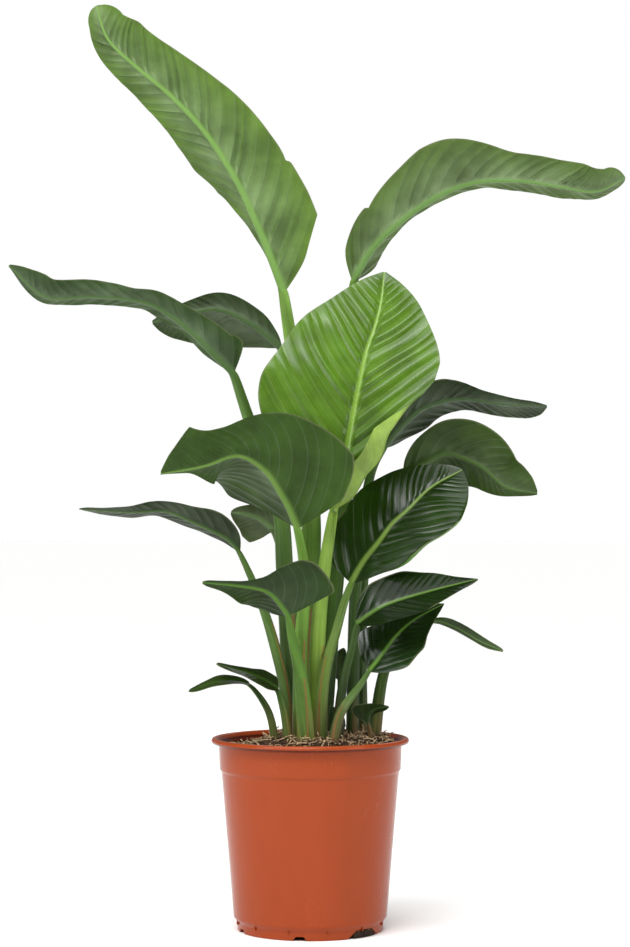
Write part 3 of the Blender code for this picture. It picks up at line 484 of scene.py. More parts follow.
class PlantSettings(bpy.types.PropertyGroup):
    blade_thickness: FloatProperty(
        name="Blade thickness", description="Thickness of a blade between its veins",
        default=0.0007, subtype="DISTANCE", unit="LENGTH",
    )
    pleat_spacing: FloatProperty(
        name="Pleat spacing", description="Distance between the pleats along the midrib",
        default=0.0230, subtype="DISTANCE", unit="LENGTH",
    )
    row_spacing: FloatProperty(
        name="Row spacing", description="Distance between rows of points along a blade",
        default=0.0014, subtype="DISTANCE", unit="LENGTH",
    )


class SoilSettings(bpy.types.PropertyGroup):
    mound: FloatProperty(
        name="Mound", description="How high the soil is heaped round the stalks",
        default=0.0135, subtype="DISTANCE", unit="LENGTH",
    )
    crumb_size: FloatProperty(
        name="Crumb size", description="Radius of the largest crumbs",
        default=0.0022, subtype="DISTANCE", unit="LENGTH",
    )
    crumb_density: FloatProperty(name="Crumb density", description="Crumbs per square metre", default=115000)
    fibre_density: FloatProperty(name="Fibre density", description="Fibres per square metre", default=21000)
    chip_density: FloatProperty(name="Chip density", description="Bark chips per square metre", default=9000)


class StudioSettings(bpy.types.PropertyGroup):
    floor_colour: FloatVectorProperty(
        name="Floor colour", description="Linear colour of the floor", subtype="COLOR", size=3,
        default=(0.95, 0.95, 0.94), min=0, max=1,
    )
    sun: FloatProperty(name="Sky light", description="Strength of the broad light from above", default=3.15)
    room: FloatProperty(name="Room light", description="Strength of the light from all round", default=0.30)


# ---------------------------------------------------------------- curves
def unit(vectors):
    lengths = np.linalg.norm(vectors, axis=-1, keepdims=True)
    return vectors / np.maximum(lengths, 1e-12)


def curve_through(points, count):
    """A smooth line through the points, as count places an equal length apart."""
    points = np.asarray(points, float)
    ends = [2 * points[0] - points[1]], points, [2 * points[-1] - points[-2]]
    padded = np.concatenate(ends)
    fine = []
    for i in range(len(points) - 1):
        before, start, end, after = padded[i : i + 4]
        t = np.linspace(0, 1, 24, endpoint=False)[:, None]
        fine.append(
            0.5
            * (
                2 * start
                + (end - before) * t
                + (2 * before - 5 * start + 4 * end - after) * t**2
                + (3 * start - before - 3 * end + after) * t**3
            )
        )
    fine = np.concatenate([*fine, points[-1:]])
    along = np.concatenate([[0], np.cumsum(np.linalg.norm(np.diff(fine, axis=0), axis=1))])
    wanted = np.linspace(0, along[-1], count)
    return np.stack([np.interp(wanted, along, fine[:, k]) for k in range(3)], axis=1)


def softened(line, passes):
    """The line with its small corners eased, its ends kept."""
    line = line.copy()
    for _ in range(passes):
        line[1:-1] = (line[:-2] + 2 * line[1:-1] + line[2:]) / 4
    return line


def between(values, share):
    """Values given at the base, middle and tip, at each share of the length."""
    values = np.asarray(values, float)
    if values.ndim == 1:
        return np.interp(share, (0, 0.5, 1), values)
    return np.stack([np.interp(share, (0, 0.5, 1), column) for column in values.T], axis=1)


def smooth_between(stations, values, share):
    """A curve through the values that never overshoots them."""
    x = np.asarray(stations, float)
    y = np.asarray(values, float)
    gaps = np.diff(x)
    slopes = np.diff(y) / gaps
    tangent = np.zeros(len(x))
    same_way = slopes[:-1] * slopes[1:] > 0
    mean = 2 * slopes[:-1] * slopes[1:] / np.where(same_way, slopes[:-1] + slopes[1:], 1)
    tangent[1:-1] = np.where(same_way, mean, 0)
    tangent[0] = 1.5 * slopes[0] - tangent[1] / 2
    tangent[-1] = 1.5 * slopes[-1] - tangent[-2] / 2
    i = np.clip(np.searchsorted(x, share, side="right") - 1, 0, len(gaps) - 1)
    t = (share - x[i]) / gaps[i]
    return (
        y[i] * (1 + 2 * t) * (1 - t) ** 2
        + tangent[i] * gaps[i] * t * (1 - t) ** 2
        + y[i + 1] * t**2 * (3 - 2 * t)
        + tangent[i + 1] * gaps[i] * t**2 * (t - 1)
    )


def wander(x, seed):
    """A smooth curve that wanders between about -1 and 1, with a swing every unit or so of x."""
    phase = np.random.default_rng(seed).uniform(0, 2 * math.pi, 4)
    rates = (0.61, 1.0, 1.43, 2.2)
    weights = (0.9, 1.0, 0.7, 0.4)
    total = sum(w * np.sin(2 * math.pi * r * x + p) for r, w, p in zip(rates, weights, phase))
    return total / 1.9


# ---------------------------------------------------------------- Blender helpers
def linear(code):
    """An sRGB hex colour as linear red, green, blue and alpha."""
    values = [int(code[i : i + 2], 16) / 255 for i in (1, 3, 5)]
    made = [v / 12.92 if v <= 0.04045 else ((v + 0.055) / 1.055) ** 2.4 for v in values]
    return (*made, 1.0)


def waxed(colour):
    """The colour under a film of grey wax."""
    grey = linear("#A9B3A2")
    return tuple(0.72 * a + 0.28 * b for a, b in zip(colour, grey))


def shade(colour, amount, yellow=0.0):
    """The colour made lighter or darker, and yellower by a share."""
    red, green, blue, alpha = colour
    red, green, blue = (c * amount for c in (red, green, blue))
    return (min(1.0, red + yellow * (green - red) * 0.5), min(1.0, green), blue * (1 - 0.3 * yellow), alpha)


def add(tree, kind, inputs=(), **settings):
    """Adds a node with its own settings. An input, by name or number, is a value, a socket or a node."""
    made = tree.nodes.new(kind)
    for key, value in settings.items():
        setattr(made, key, value)
    given = inputs.items() if isinstance(inputs, dict) else enumerate(inputs)
    for key, value in given:
        if isinstance(value, bpy.types.Node):
            value = next(socket for socket in value.outputs if socket.enabled)
        if isinstance(value, bpy.types.NodeSocket):
            tree.links.new(value, made.inputs[key])
        else:
            made.inputs[key].default_value = value
    return made


def new_material(name):
    """An empty material with its output, and the tree to build in."""
    material = bpy.data.materials.new(name)
    material.use_nodes = True
    material.node_tree.nodes.clear()
    return material, material.node_tree


def add_object(name, mesh, material, replaced):
    """Puts a finished mesh in the scene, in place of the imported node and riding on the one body."""
    obj = bpy.data.objects.new(name, mesh)
    bpy.context.scene.collection.objects.link(obj)
    if material is not None:
        mesh.materials.clear()
        mesh.materials.append(material)
    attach(obj, "root")
    if replaced:
        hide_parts(replaced)
    return obj


def closed_mesh(name, points, faces, sharp=50):
    """A smooth-shaded mesh whose faces point outwards."""
    mesh = bpy.data.meshes.new(name)
    mesh.from_pydata(points.tolist(), [], faces)
    triangles = []
    for face in faces:
        for i in range(1, len(face) - 1):
            triangles.append((face[0], face[i], face[i + 1]))
    corners = points[np.array(triangles)]
    volume = (corners[:, 0] * np.cross(corners[:, 1], corners[:, 2])).sum()
    if volume < 0:
        mesh.flip_normals()
    mesh.polygons.foreach_set("use_smooth", [True] * len(mesh.polygons))
    mesh.set_sharp_from_angle(angle=math.radians(sharp))
    return mesh


def keep_values(mesh, **columns):
    """Stores one number for each point of the mesh, by name, for a material to read."""
    for name, values in columns.items():
        attribute = mesh.attributes.new(name, "FLOAT", "POINT")
        attribute.data.foreach_set("value", np.asarray(values, np.float32).ravel())


def keep_uv(mesh, name, values):
    """A UV map made from two numbers for each point of the mesh."""
    corner = np.zeros(len(mesh.loops), np.int32)
    mesh.loops.foreach_get("vertex_index", corner)
    layer = mesh.uv_layers.new(name=name)
    layer.data.foreach_set("uv", np.asarray(values, np.float32)[corner].ravel())


def plain_mesh(obj, name):
    """The evaluated object as a mesh of its own."""
    graph = bpy.context.evaluated_depsgraph_get()
    mesh = bpy.data.meshes.new_from_object(obj.evaluated_get(graph))
    mesh.name = name
    return mesh


def ring_faces(rings, sides, first=0):
    """Quads round a tube of rings, and a cap on each end."""
    faces = []
    for ring in range(rings - 1):
        for side in range(sides):
            a = first + ring * sides + side
            b = first + ring * sides + (side + 1) % sides
            faces.append((a, b, b + sides, a + sides))
    faces.append(tuple(first + side for side in range(sides)))
    faces.append(tuple(first + (rings - 1) * sides + side for side in range(sides)))
    return faces


# ---------------------------------------------------------------- blades
def column_places(leaf, share, reach):
    """Distances out from the midrib for each row: close together over the rib, then even to the margin."""
    rib = rib_half_width(leaf, share)
    rib = np.minimum(rib, reach / 3)
    inner = [rib * k for k in SHARE_OF_RIB]
    start = inner[-1]
    count = int(np.clip(reach.max() / COLUMN_SPACING, 12, 40))
    outer = [start + (reach - start) * (i + 1) / count for i in range(count)]
    return np.stack([*inner, *outer], axis=1)


def rib_half_width(leaf, share):
    base = 0.46 * leaf.top_size[0]
    return base * (1 - share) ** 0.8 + 0.0006


def margin_reach(half, side, share, length, finish, seed):
    """The half's reach with the small unevenness of a real margin, and its tears."""
    reach = smooth_between(STATIONS, half.reach, share)
    reach = reach * (1 + 0.003 * wander(share * length / 0.05, seed))
    if finish.blunt:
        end = np.interp(0.95, STATIONS, half.reach)
        round_tip = end * np.sqrt(np.clip(1 - ((share - 0.95) / 0.05) ** 2, 0.004, 1))
        reach = np.where(share > 0.95, np.maximum(round_tip, 0.0006), reach)
    for shaped_side, place, depth, run, pointed in finish.shaping:
        if shaped_side == side:
            away = np.abs(share - place) * length / run
            reach = reach + depth * np.exp(-away if pointed else -(away**2))
    for tear_side, place, depth in finish.tears:
        if tear_side != side:
            continue
        past = (share - place) * length
        split = np.where(past > 0, np.exp(-past / 0.012), np.exp(past / 0.0012))
        reach = reach - np.minimum(depth, reach * 0.4) * split
    return reach


def half_surface(leaf, half, side, spine, settings, finish, seed):
    """Points, outward directions and vein coordinates of one half of a blade's middle surface."""
    midrib, tangent, face, leftwards, share, length = spine
    reach = margin_reach(half, side, share, length, finish, seed)
    x = column_places(leaf, share, reach)
    out = x / reach[:, None]
    fold = np.radians(between(half.fold, share))[:, None]
    curl = np.radians(between(half.curl, share))[:, None]
    hem = np.interp(share, np.linspace(0, 1, len(half.hem)), half.hem)[:, None]

    def rise_angle(distance):
        turned_over = np.clip((distance - reach[:, None] + hem) / HEM_BEND, 0, 1)
        return fold + curl * distance / reach[:, None] + HEM_TURN * turned_over

    places = np.concatenate([np.zeros((len(share), 1)), x], axis=1)
    gap = np.diff(places, axis=1)
    angle = rise_angle((places[:, 1:] + places[:, :-1]) / 2)
    sideways = np.cumsum(gap * np.cos(angle), axis=1)
    rise = np.cumsum(gap * np.sin(angle), axis=1)
    points = (
        midrib[:, None]
        + side * leftwards[:, None] * sideways[..., None]
        + face[:, None] * rise[..., None]
    )
    back = half.lobe * np.sin(math.pi * np.clip(share / LOBE_SHARE, 0, 1))
    points = points - tangent[:, None] * (back[:, None] * out**2)[..., None]
    angle = rise_angle(x)
    normal = -side * leftwards[:, None] * np.sin(angle)[..., None] + face[:, None] * np.cos(angle)[..., None]

    # Side veins leave the midrib, run out level with each other and sweep towards the tip near the margin.
    along = (share * length)[:, None]
    vein = along - 0.85 * x - 0.25 * x**2 / np.maximum(reach[:, None], 0.01)
    uneven = vein + 0.0025 * wander(vein / 0.06, seed + 3)
    # The pleats crowd together towards the tip, and on a smaller blade.
    widest = settings.pleat_spacing * np.clip(length / USUAL_BLADE, 0.3, 1.1) ** 0.7
    count = -length / (CROWDING * widest) * np.log(1 - CROWDING * np.clip(uneven / length, -0.6, 0.98))
    leaving_rib = np.clip((x - 0.8 * rib_half_width(leaf, share)[:, None]) / 0.004, 0, 1)
    ease = np.clip(reach[:, None] / 0.02, 0, 1) * leaving_rib * np.clip((1 - share[:, None]) / 0.12, 0, 1)
    strength = (1 + 0.45 * wander(vein / 0.05, seed + 5)) * (1 - 0.55 * out**2)
    lift = finish.pleat * strength * (0.4 - np.cos(2 * math.pi * count) / 2) * ease * (1 - 0.8 * out**3)
    ripple = finish.ripple * out**3 * wander(share[:, None] * length / 0.07 + 0.1 * side, seed + 7)
    swell = 0.0016 * out * wander(along / 0.11 + 0.3 * side, seed + 9) * np.clip(reach[:, None] / 0.04, 0, 1)
    fade = np.clip(share / 0.06, 0, 1)[:, None]
    points = points + normal * ((lift + (ripple + swell) * fade)[..., None])
    return points, normal, x, out, vein, count, strength * ease


def blade_arrays(leaf, finish, settings, seed):
    """The whole blade as grids of points: its middle surface, with what each point needs to know."""
    length = np.linalg.norm(np.diff(curve_through(leaf.midrib, 60), axis=0), axis=1).sum()
    rows = max(24, round(length / settings.row_spacing))
    share = np.linspace(0, 1, rows + 1)
    midrib = softened(curve_through(leaf.midrib, rows + 1), 12)
    tangent = unit(np.gradient(softened(midrib, 220), axis=0))
    face = between(leaf.faces, share)
    face = unit(face - tangent * (face * tangent).sum(axis=1, keepdims=True))
    leftwards = np.cross(face, tangent)
    spine = midrib, tangent, face, leftwards, share, length
    right = half_surface(leaf, leaf.right, -1, spine, settings, finish, seed)
    left = half_surface(leaf, leaf.left, 1, spine, settings, finish, seed + 40)
    zero = np.zeros((rows + 1, 1))
    points = np.concatenate([right[0][:, ::-1], midrib[:, None], left[0]], axis=1)
    normal = np.concatenate([right[1][:, ::-1], face[:, None], left[1]], axis=1)
    x = np.concatenate([-right[2][:, ::-1], zero, left[2]], axis=1)
    out = np.concatenate([right[3][:, ::-1], zero, left[3]], axis=1)
    vein = np.concatenate([right[4][:, ::-1], (share * length)[:, None], left[4]], axis=1)
    count = np.concatenate([right[5][:, ::-1], left[5][:, :1], left[5]], axis=1)
    crease = np.concatenate([right[6][:, ::-1], zero, left[6]], axis=1)
    return points, normal, x, out, vein, (count, crease), share


def blade_mesh(leaf, finish, settings, seed):
    """A closed blade: upper face, underside with its raised midrib, and thin margins."""
    points, normal, x, out, vein, (count, crease), share = blade_arrays(leaf, finish, settings, seed)
    rows, columns = x.shape
    rib = rib_half_width(leaf, share)[:, None]
    near = np.clip(np.abs(x) / (1.25 * rib), 0, 1)
    ridge_height = (0.42 * leaf.top_size[1] * (1 - share) ** 1.1 + 0.0004)[:, None]
    ridge = ridge_height * np.cos(near * math.pi / 2) ** 1.1
    groove = 0.16 * ridge_height * np.exp(-((x / (0.5 * rib)) ** 2))
    half_thick = settings.blade_thickness / 2 * (1 - 0.65 * out**4)
    upper = points + normal * (half_thick - groove)[..., None]
    lower = points - normal * (half_thick + ridge)[..., None]
    size = rows * columns
    everything = np.concatenate([upper.reshape(-1, 3), lower.reshape(-1, 3)]) + (0, 0, SOIL_TOP)
    faces = []
    for r in range(rows - 1):
        for c in range(columns - 1):
            a = r * columns + c
            faces.append((a, a + 1, a + 1 + columns, a + columns))
            b = a + size
            faces.append((b, b + columns, b + 1 + columns, b + 1))
    border = [c for c in range(columns)]
    border += [r * columns + columns - 1 for r in range(1, rows)]
    border += [(rows - 1) * columns + c for c in range(columns - 2, -1, -1)]
    border += [r * columns for r in range(rows - 2, 0, -1)]
    for i, a in enumerate(border):
        b = border[(i + 1) % len(border)]
        faces.append((b, a, a + size, b + size))
    mesh = closed_mesh(leaf.name, everything, faces)
    reach = np.abs(x).max(axis=1, keepdims=True)
    from_margin = reach - np.abs(x)
    edge = np.exp(-((from_margin / 0.0007) ** 2)) * (out > 0.5)
    rib_paint = np.exp(-((x / (0.95 * rib)) ** 4))
    both = {
        "rib": rib_paint,
        "edge": edge,
        "count": count,
        "crease": crease,
        "wax": np.where(x > 0, finish.bloom[0], finish.bloom[1]) * (1 - out) ** 1.2,
        "share": np.repeat(share[:, None], columns, axis=1),
    }
    twice = {key: np.concatenate([values, values]) for key, values in both.items()}
    keep_values(mesh, under=np.repeat([0.0, 1.0], size), **twice)
    keep_uv(mesh, "veins", np.tile(np.stack([vein.ravel(), x.ravel()], axis=1), (2, 1)))
    return mesh


# ---------------------------------------------------------------- stalks
def stalk_mesh(leaf, finish):
    """A stalk from inside the soil to inside the blade's midrib: channelled above, sheathed below."""
    start = np.asarray(leaf.midrib[0], float)
    onward = unit(np.asarray(leaf.midrib[1], float) - start)
    points = np.array([*leaf.stalk, start - onward * 0.0004])
    line = curve_through(points, 200)
    below = line[0] - (0, 0, STALK_ROOT)
    into = 1.6 * leaf.top_size[0]
    line = np.concatenate([[below], line, [start + onward * into * 0.5], [start + onward * into]])
    along = np.concatenate([[0], np.cumsum(np.linalg.norm(np.diff(line, axis=0), axis=1))])
    rings = max(16, round(along[-1] / RING_SPACING))
    wanted = np.linspace(0, along[-1], rings)
    line = np.stack([np.interp(wanted, along, line[:, k]) for k in range(3)], axis=1)
    line = softened(line, 6)
    total = along[-3]
    share = np.clip((wanted - STALK_ROOT) / (total - STALK_ROOT), 0, 1)
    past = np.clip((wanted - total) / into, 0, 1)

    tangent = unit(np.gradient(line, axis=0))
    blade_face = np.asarray(leaf.faces[0], float)
    standing = np.array((0.0, 1.0 if blade_face[1] > 0 else -1.0, 0.0))
    turn_in = (share**2)[:, None]
    facing = standing * (1 - turn_in) + blade_face / np.linalg.norm(blade_face) * turn_in
    facing = unit(facing - tangent * (facing * tangent).sum(axis=1, keepdims=True))
    sideways = np.cross(facing, tangent)
    base = np.array(leaf.base_size) / 2
    top = np.array(leaf.top_size) / 2
    size = top + (base - top) * (1 - share[:, None]) ** STALK_TAPER
    size = size * (1 + 0.05 * np.exp(-share[:, None] * 14)) * (1 - 0.45 * past[:, None])
    phi = np.arange(STALK_SIDES) * 2 * math.pi / STALK_SIDES
    across = np.sin(phi)[None] * size[:, :1]
    through = np.cos(phi)[None] * size[:, 1:]
    upper_half = through > 0
    flat = (0.12 + 0.55 * share**3)[:, None]
    through = np.where(upper_half, through * (1 - flat), through)
    dip = (0.10 + 0.42 * np.clip((share - 0.35) / 0.5, 0, 1))[:, None] * size[:, 1:]
    through = through - np.where(upper_half, dip * np.exp(-((across / (0.48 * size[:, :1])) ** 2)), 0)
    offset = sideways[:, None] * across[..., None] + facing[:, None] * through[..., None]

    # The sheath's margins: a thin step that laps over the stalk and ends in a small notch.
    heading = np.degrees(np.arctan2(offset[..., 0], -offset[..., 1]))
    lip = np.zeros(heading.shape)
    step = np.zeros(heading.shape)
    for angle, end in finish.seams:
        drift = angle * (0.45 + 0.55 * np.clip(share / end, 0, 1))[:, None]
        gap = np.radians((heading - drift) * np.sign(angle))
        inside = (share < end)[:, None] & (gap < 0)
        rise = 0.0007 + 0.0009 * np.clip(share / end, 0, 1)[:, None] ** 3
        step = step + np.where(inside, rise * np.exp(gap / 0.9), 0)
        lip = lip + (share < end)[:, None] * np.exp(-((gap / 0.16) ** 2))
    offset = offset * (1 + step / np.maximum(np.linalg.norm(offset, axis=2), 0.001))[..., None]
    ridges = 0.00012 * np.sin(phi * 11)[None] * np.clip(share / 0.1, 0, 1)[:, None]
    offset = offset * (1 + ridges / np.maximum(np.linalg.norm(offset, axis=2), 0.001))[..., None]
    points = line[:, None] + offset + np.array((0, 0, SOIL_TOP))
    mesh = closed_mesh(leaf.name, points.reshape(-1, 3), ring_faces(rings, STALK_SIDES), 70)
    steps = np.linalg.norm(np.diff(points, axis=1), axis=2)
    around = np.concatenate([np.zeros((rings, 1)), np.cumsum(steps, axis=1)], axis=1)
    whole = np.repeat(share[:, None], STALK_SIDES, axis=1)
    channel = np.where(upper_half, np.exp(-((across / (0.6 * size[:, :1])) ** 2)), 0)
    height = np.repeat((wanted - STALK_ROOT)[:, None], STALK_SIDES, axis=1)
    keep_values(mesh, share=whole, lip=np.clip(lip, 0, 1), channel=channel, height=height)
    keep_uv(mesh, "stem", np.stack([around.ravel(), np.repeat(wanted, STALK_SIDES)], axis=1))
    return mesh


# ---------------------------------------------------------------- pot
def rounded(profile, radii, steps=5):
    """The profile with each corner turned into an arc of its radius."""
    made = [np.array(profile[0], float)]
    for i in range(1, len(profile) - 1):
        before, corner, after = (np.array(profile[k], float) for k in (i - 1, i, i + 1))
        radius = radii[i]
        if radius <= 0:
            made.append(corner)
            continue
        to_before = unit(before - corner)
        to_after = unit(after - corner)
        reach = min(
            radius, 0.45 * np.linalg.norm(before - corner), 0.45 * np.linalg.norm(after - corner)
        )
        start = corner + to_before * reach
        end = corner + to_after * reach
        for k in range(steps + 1):
            t = k / steps
            made.append((1 - t) ** 2 * start + 2 * t * (1 - t) * corner + t**2 * end)
    made.append(np.array(profile[-1], float))
    return np.array(made)


def subdivided(profile, longest):
    """The profile with its long straight runs broken into shorter ones."""
    made = [profile[0]]
    for start, end in zip(profile[:-1], profile[1:]):
        pieces = max(1, math.ceil(np.linalg.norm(end - start) / longest))
        for k in range(1, pieces + 1):
            made.append(start + (end - start) * k / pieces)
    return np.array(made)


def turned(name, profile, steps, sharp=40):
    """A profile of (radius, height) points turned round the Z axis. It starts and ends on the axis."""
    on_axis = profile[:, 0] < 1e-6
    index = []
    points = []
    angle = np.arange(steps) * 2 * math.pi / steps
    for (radius, height), pole in zip(profile, on_axis):
        if pole:
            index.append([len(points)] * steps)
            points.append((0.0, 0.0, height))
        else:
            index.append(list(range(len(points), len(points) + steps)))
            points += [(radius * math.cos(a), radius * math.sin(a), height) for a in angle]
    faces = []
    for i in range(len(profile) - 1):
        for s in range(steps):
            t = (s + 1) % steps
            corners = [index[i][s], index[i][t], index[i + 1][t], index[i + 1][s]]
            kept = list(dict.fromkeys(corners))
            if len(kept) > 2:
                faces.append(tuple(kept))
    return closed_mesh(name, np.array(points), faces, sharp)


BAND_DEPTH = 0.034  # from the rim down to the small step under the upper band
FOOT_TOP = 0.014  # where the body turns in to the foot ring
FOOT_RING = 0.004
FLOOR_BOTTOM = 0.005
FLOOR_TOP = 0.008
GAP_ANGLE = -43.0  # degrees; the wide gap in the foot ring, at the front right
GAP_SIZE = (0.050, 0.0085)  # width and height
NOTCH_ANGLES = (-98, 22, 82, 142, 202)
NOTCH_SIZE = (0.018, 0.0045)
HOLE_COUNT = 6  # in the floor
HOLE_RADIUS = 0.006
WALL_LEAN = 0.0885  # how far the body widens for each metre of height
WALL_FOOT = 0.0795  # and its radius where that line meets the floor


def pot_radii(settings):
    band_top = RIM_RADIUS - settings.lip_overhang
    band_bottom = band_top - 0.001
    body_top = band_bottom - 0.0019
    body_bottom = body_top - 0.013
    return band_top, band_bottom, body_top, body_bottom, body_bottom - 0.004


def pot_profile(settings):
    """Up from the centre pad, out to the foot, up the outside, over the lip and down inside."""
    band_top, band_bottom, body_top, body_bottom, foot = pot_radii(settings)
    lip_bottom = POT_HEIGHT - settings.lip_depth
    step = POT_HEIGHT - BAND_DEPTH
    wall = settings.wall
    rows = (
        (0.0, 0.0, 0),
        (0.012, 0.0, 0.0006),
        (0.012, FLOOR_BOTTOM, 0.0008),
        (foot - FOOT_RING - 0.001, FLOOR_BOTTOM, 0.0010),
        (foot - FOOT_RING, 0.0, 0.0006),
        (foot, 0.0, 0.0012),
        (foot + 0.0002, FOOT_TOP - 0.0052, 0.0010),
        (body_bottom, FOOT_TOP, 0.0016),
        (body_top, step - 0.002, 0.0009),
        (band_bottom, step + 0.0008, 0.0009),
        (band_top, lip_bottom - 0.0004, 0.0012),
        (RIM_RADIUS - 0.0014, lip_bottom + 0.0002, 0.0012),
        (RIM_RADIUS - 0.0002, POT_HEIGHT - 0.0034, 0.0016),
        (RIM_RADIUS - 0.0016, POT_HEIGHT - 0.0006, 0.0012),
        (RIM_RADIUS - 0.0045, POT_HEIGHT, 0.0012),
        (RIM_RADIUS - 0.0064, POT_HEIGHT - 0.0012, 0.0012),
        (band_top - wall, POT_HEIGHT - 0.008, 0.003),
        (body_top - wall, step, 0.003),
        (body_bottom - wall, FOOT_TOP + 0.001, 0.004),
        (foot - wall, FLOOR_TOP, 0.002),
        (0.0, FLOOR_TOP, 0),
    )
    profile = rounded([row[:2] for row in rows], [row[2] for row in rows])
    return subdivided(profile, 0.012)


def outward(degrees):
    angle = math.radians(degrees)
    return np.array((math.cos(angle), math.sin(angle), 0.0))


def add_prism(shape, low, high):
    low = [shape.verts.new(point) for point in low]
    high = [shape.verts.new(point) for point in high]
    shape.faces.new(low)
    shape.faces.new(high)
    for i in range(len(low)):
        j = (i + 1) % len(low)
        shape.faces.new((low[i], low[j], high[j], high[i]))


def drainage_tool(settings):
    """Notches in the foot ring, the wide gap at the front right and holes in the floor, as one cutter."""
    foot = pot_radii(settings)[4]
    shape = bmesh.new()
    notches = [(degrees, *NOTCH_SIZE) for degrees in NOTCH_ANGLES]
    notches.append((GAP_ANGLE, *GAP_SIZE))
    for degrees, width, height in notches:
        out = outward(degrees)
        side = outward(degrees + 90)
        outline = [(-width / 2, -0.002), (width / 2, -0.002)]
        for k in range(9):
            angle = math.pi * k / 8
            across = width / 2 * (0.52 + 0.16 * math.sin(angle)) * math.cos(angle)
            outline.append((across, height * (0.86 + 0.14 * math.sin(angle))))
        near = foot - FOOT_RING - 0.002 - width**2 / (8 * foot)
        ends = []
        for distance in (near, foot + 0.006):
            ends.append([out * distance + side * x + np.array((0, 0, z)) for x, z in outline])
        add_prism(shape, *ends)
    for hole in range(HOLE_COUNT):
        middle = outward(hole * 360 / HOLE_COUNT + 22) * (foot - 0.016)
        circle = [middle + outward(turn) * HOLE_RADIUS for turn in range(0, 360, 12)]
        low, high = (0, 0, FLOOR_BOTTOM - 0.003), (0, 0, FLOOR_TOP + 0.003)
        add_prism(shape, [p + low for p in circle], [p + high for p in circle])
    bmesh.ops.recalc_face_normals(shape, faces=shape.faces)
    mesh = bpy.data.meshes.new("drainage_tool")
    shape.to_mesh(mesh)
    shape.free()
    return bpy.data.objects.new("drainage_tool", mesh)


def polypropylene(name, colour):
    """Recycled polypropylene, injection moulded: satin, with orange peel, clouding, specks of dust and
    painted shade under the lip.
    """
    material, tree = new_material(name)
    place = add(tree, "ShaderNodeTexCoord").outputs["Object"]
    # Clouds in the regrind, 25 mm across, a little stretched up the wall.
    stretched = add(tree, "ShaderNodeMapping", {"Vector": place, "Scale": (1, 1, 0.45)})
    clouds = add(tree, "ShaderNodeTexNoise", {"Vector": stretched, "Scale": 40.0, "Detail": 4.0})
    # Specks of dust and peat 1 mm across; real ones are finer.
    dust = add(tree, "ShaderNodeTexVoronoi", {"Vector": place, "Scale": 330.0})
    speck = add(tree, "ShaderNodeMapRange", (dust, 0.10, 0.05, 0.0, 1.0))
    where = add(tree, "ShaderNodeTexNoise", {"Vector": place, "Scale": 60.0, "Detail": 2.0})
    here = add(tree, "ShaderNodeMapRange", (where, 0.60, 0.66, 0.0, 1.0))
    dusty = add(tree, "ShaderNodeMath", (speck, here), operation="MULTIPLY")
    # The inside of the wall is darker than the outside, from a few millimetres under the rim down.
    apart = add(tree, "ShaderNodeSeparateXYZ", (place,))
    height = apart.outputs["Z"]
    flat = add(tree, "ShaderNodeCombineXYZ", (apart.outputs["X"], apart.outputs["Y"]))
    radius = add(tree, "ShaderNodeVectorMath", (flat,), operation="LENGTH")
    slope = add(tree, "ShaderNodeMath", (height, WALL_LEAN, 0.0), operation="MULTIPLY_ADD")
    wall_line = add(tree, "ShaderNodeMath", (slope, WALL_FOOT), operation="ADD")
    within = add(tree, "ShaderNodeMath", (wall_line, radius), operation="SUBTRACT")
    inside = add(tree, "ShaderNodeMapRange", (within, 0.0010, 0.0022, 0.0, 1.0))
    low = add(tree, "ShaderNodeMapRange", (height, POT_HEIGHT - 0.0005, POT_HEIGHT - 0.0055, 0.0, 1.0))
    # The foot ring stands back from the wall, so it is left out of the darker inside by its height.
    above = add(tree, "ShaderNodeMapRange", (height, FOOT_TOP + 0.002, FOOT_TOP + 0.006, 0.0, 1.0))
    darker_inside = add(tree, "ShaderNodeMath", (inside, low), operation="MULTIPLY")
    darker_inside = add(tree, "ShaderNodeMath", (darker_inside, above), operation="MULTIPLY")
    base = (*colour, 1.0)
    ramp = add(tree, "ShaderNodeMapRange", (clouds, 0.30, 0.70, 0.0, 1.0))
    tone = add(tree, "ShaderNodeMix", {0: ramp, 6: shade(base, 0.93), 7: base}, data_type="RGBA")
    tone = add(tree, "ShaderNodeMix", {0: dusty, 6: tone, 7: linear("#5A3324")}, data_type="RGBA")
    darker_inside_mix = add(tree, "ShaderNodeMath", (darker_inside, 0.88), operation="MULTIPLY")
    tone = add(tree, "ShaderNodeMix", {0: darker_inside_mix, 6: tone, 7: linear("#471A10")}, data_type="RGBA")
    # Painted shade: the crease under the lip is darkened to stand in for the shadow there.
    lip_bottom = POT_HEIGHT - LIP_DEPTH
    under_lip = add(tree, "ShaderNodeMapRange", (height, lip_bottom + 0.0002, lip_bottom - 0.0022, 1.0, 0.0))
    lip_top = add(tree, "ShaderNodeMapRange", (height, lip_bottom + 0.0012, lip_bottom + 0.0022, 1.0, 0.0))
    crease = add(tree, "ShaderNodeMath", (under_lip, lip_top), operation="MULTIPLY")
    crease = add(tree, "ShaderNodeMath", (crease, 0.9), operation="MULTIPLY")
    tone = add(tree, "ShaderNodeMix", {0: crease, 6: tone, 7: linear("#3A0C05")}, data_type="RGBA")
    rough = add(tree, "ShaderNodeMapRange", (clouds, 0.3, 0.7, 0.22, 0.28))
    # Orange peel 1.5 mm across; the moulded skin's own is half that.
    skin = add(tree, "ShaderNodeTexNoise", {"Vector": place, "Scale": 650.0, "Detail": 3.0})
    bump = add(tree, "ShaderNodeBump", {"Height": skin, "Strength": 0.12, "Distance": 0.0004})
    shader = add(tree, "ShaderNodeBsdfPrincipled", {
        "Base Color": tone, "Roughness": rough, "IOR": 1.49, "Specular IOR Level": 0.20, "Normal": bump,
    })
    add(tree, "ShaderNodeOutputMaterial", (shader,))
    return material


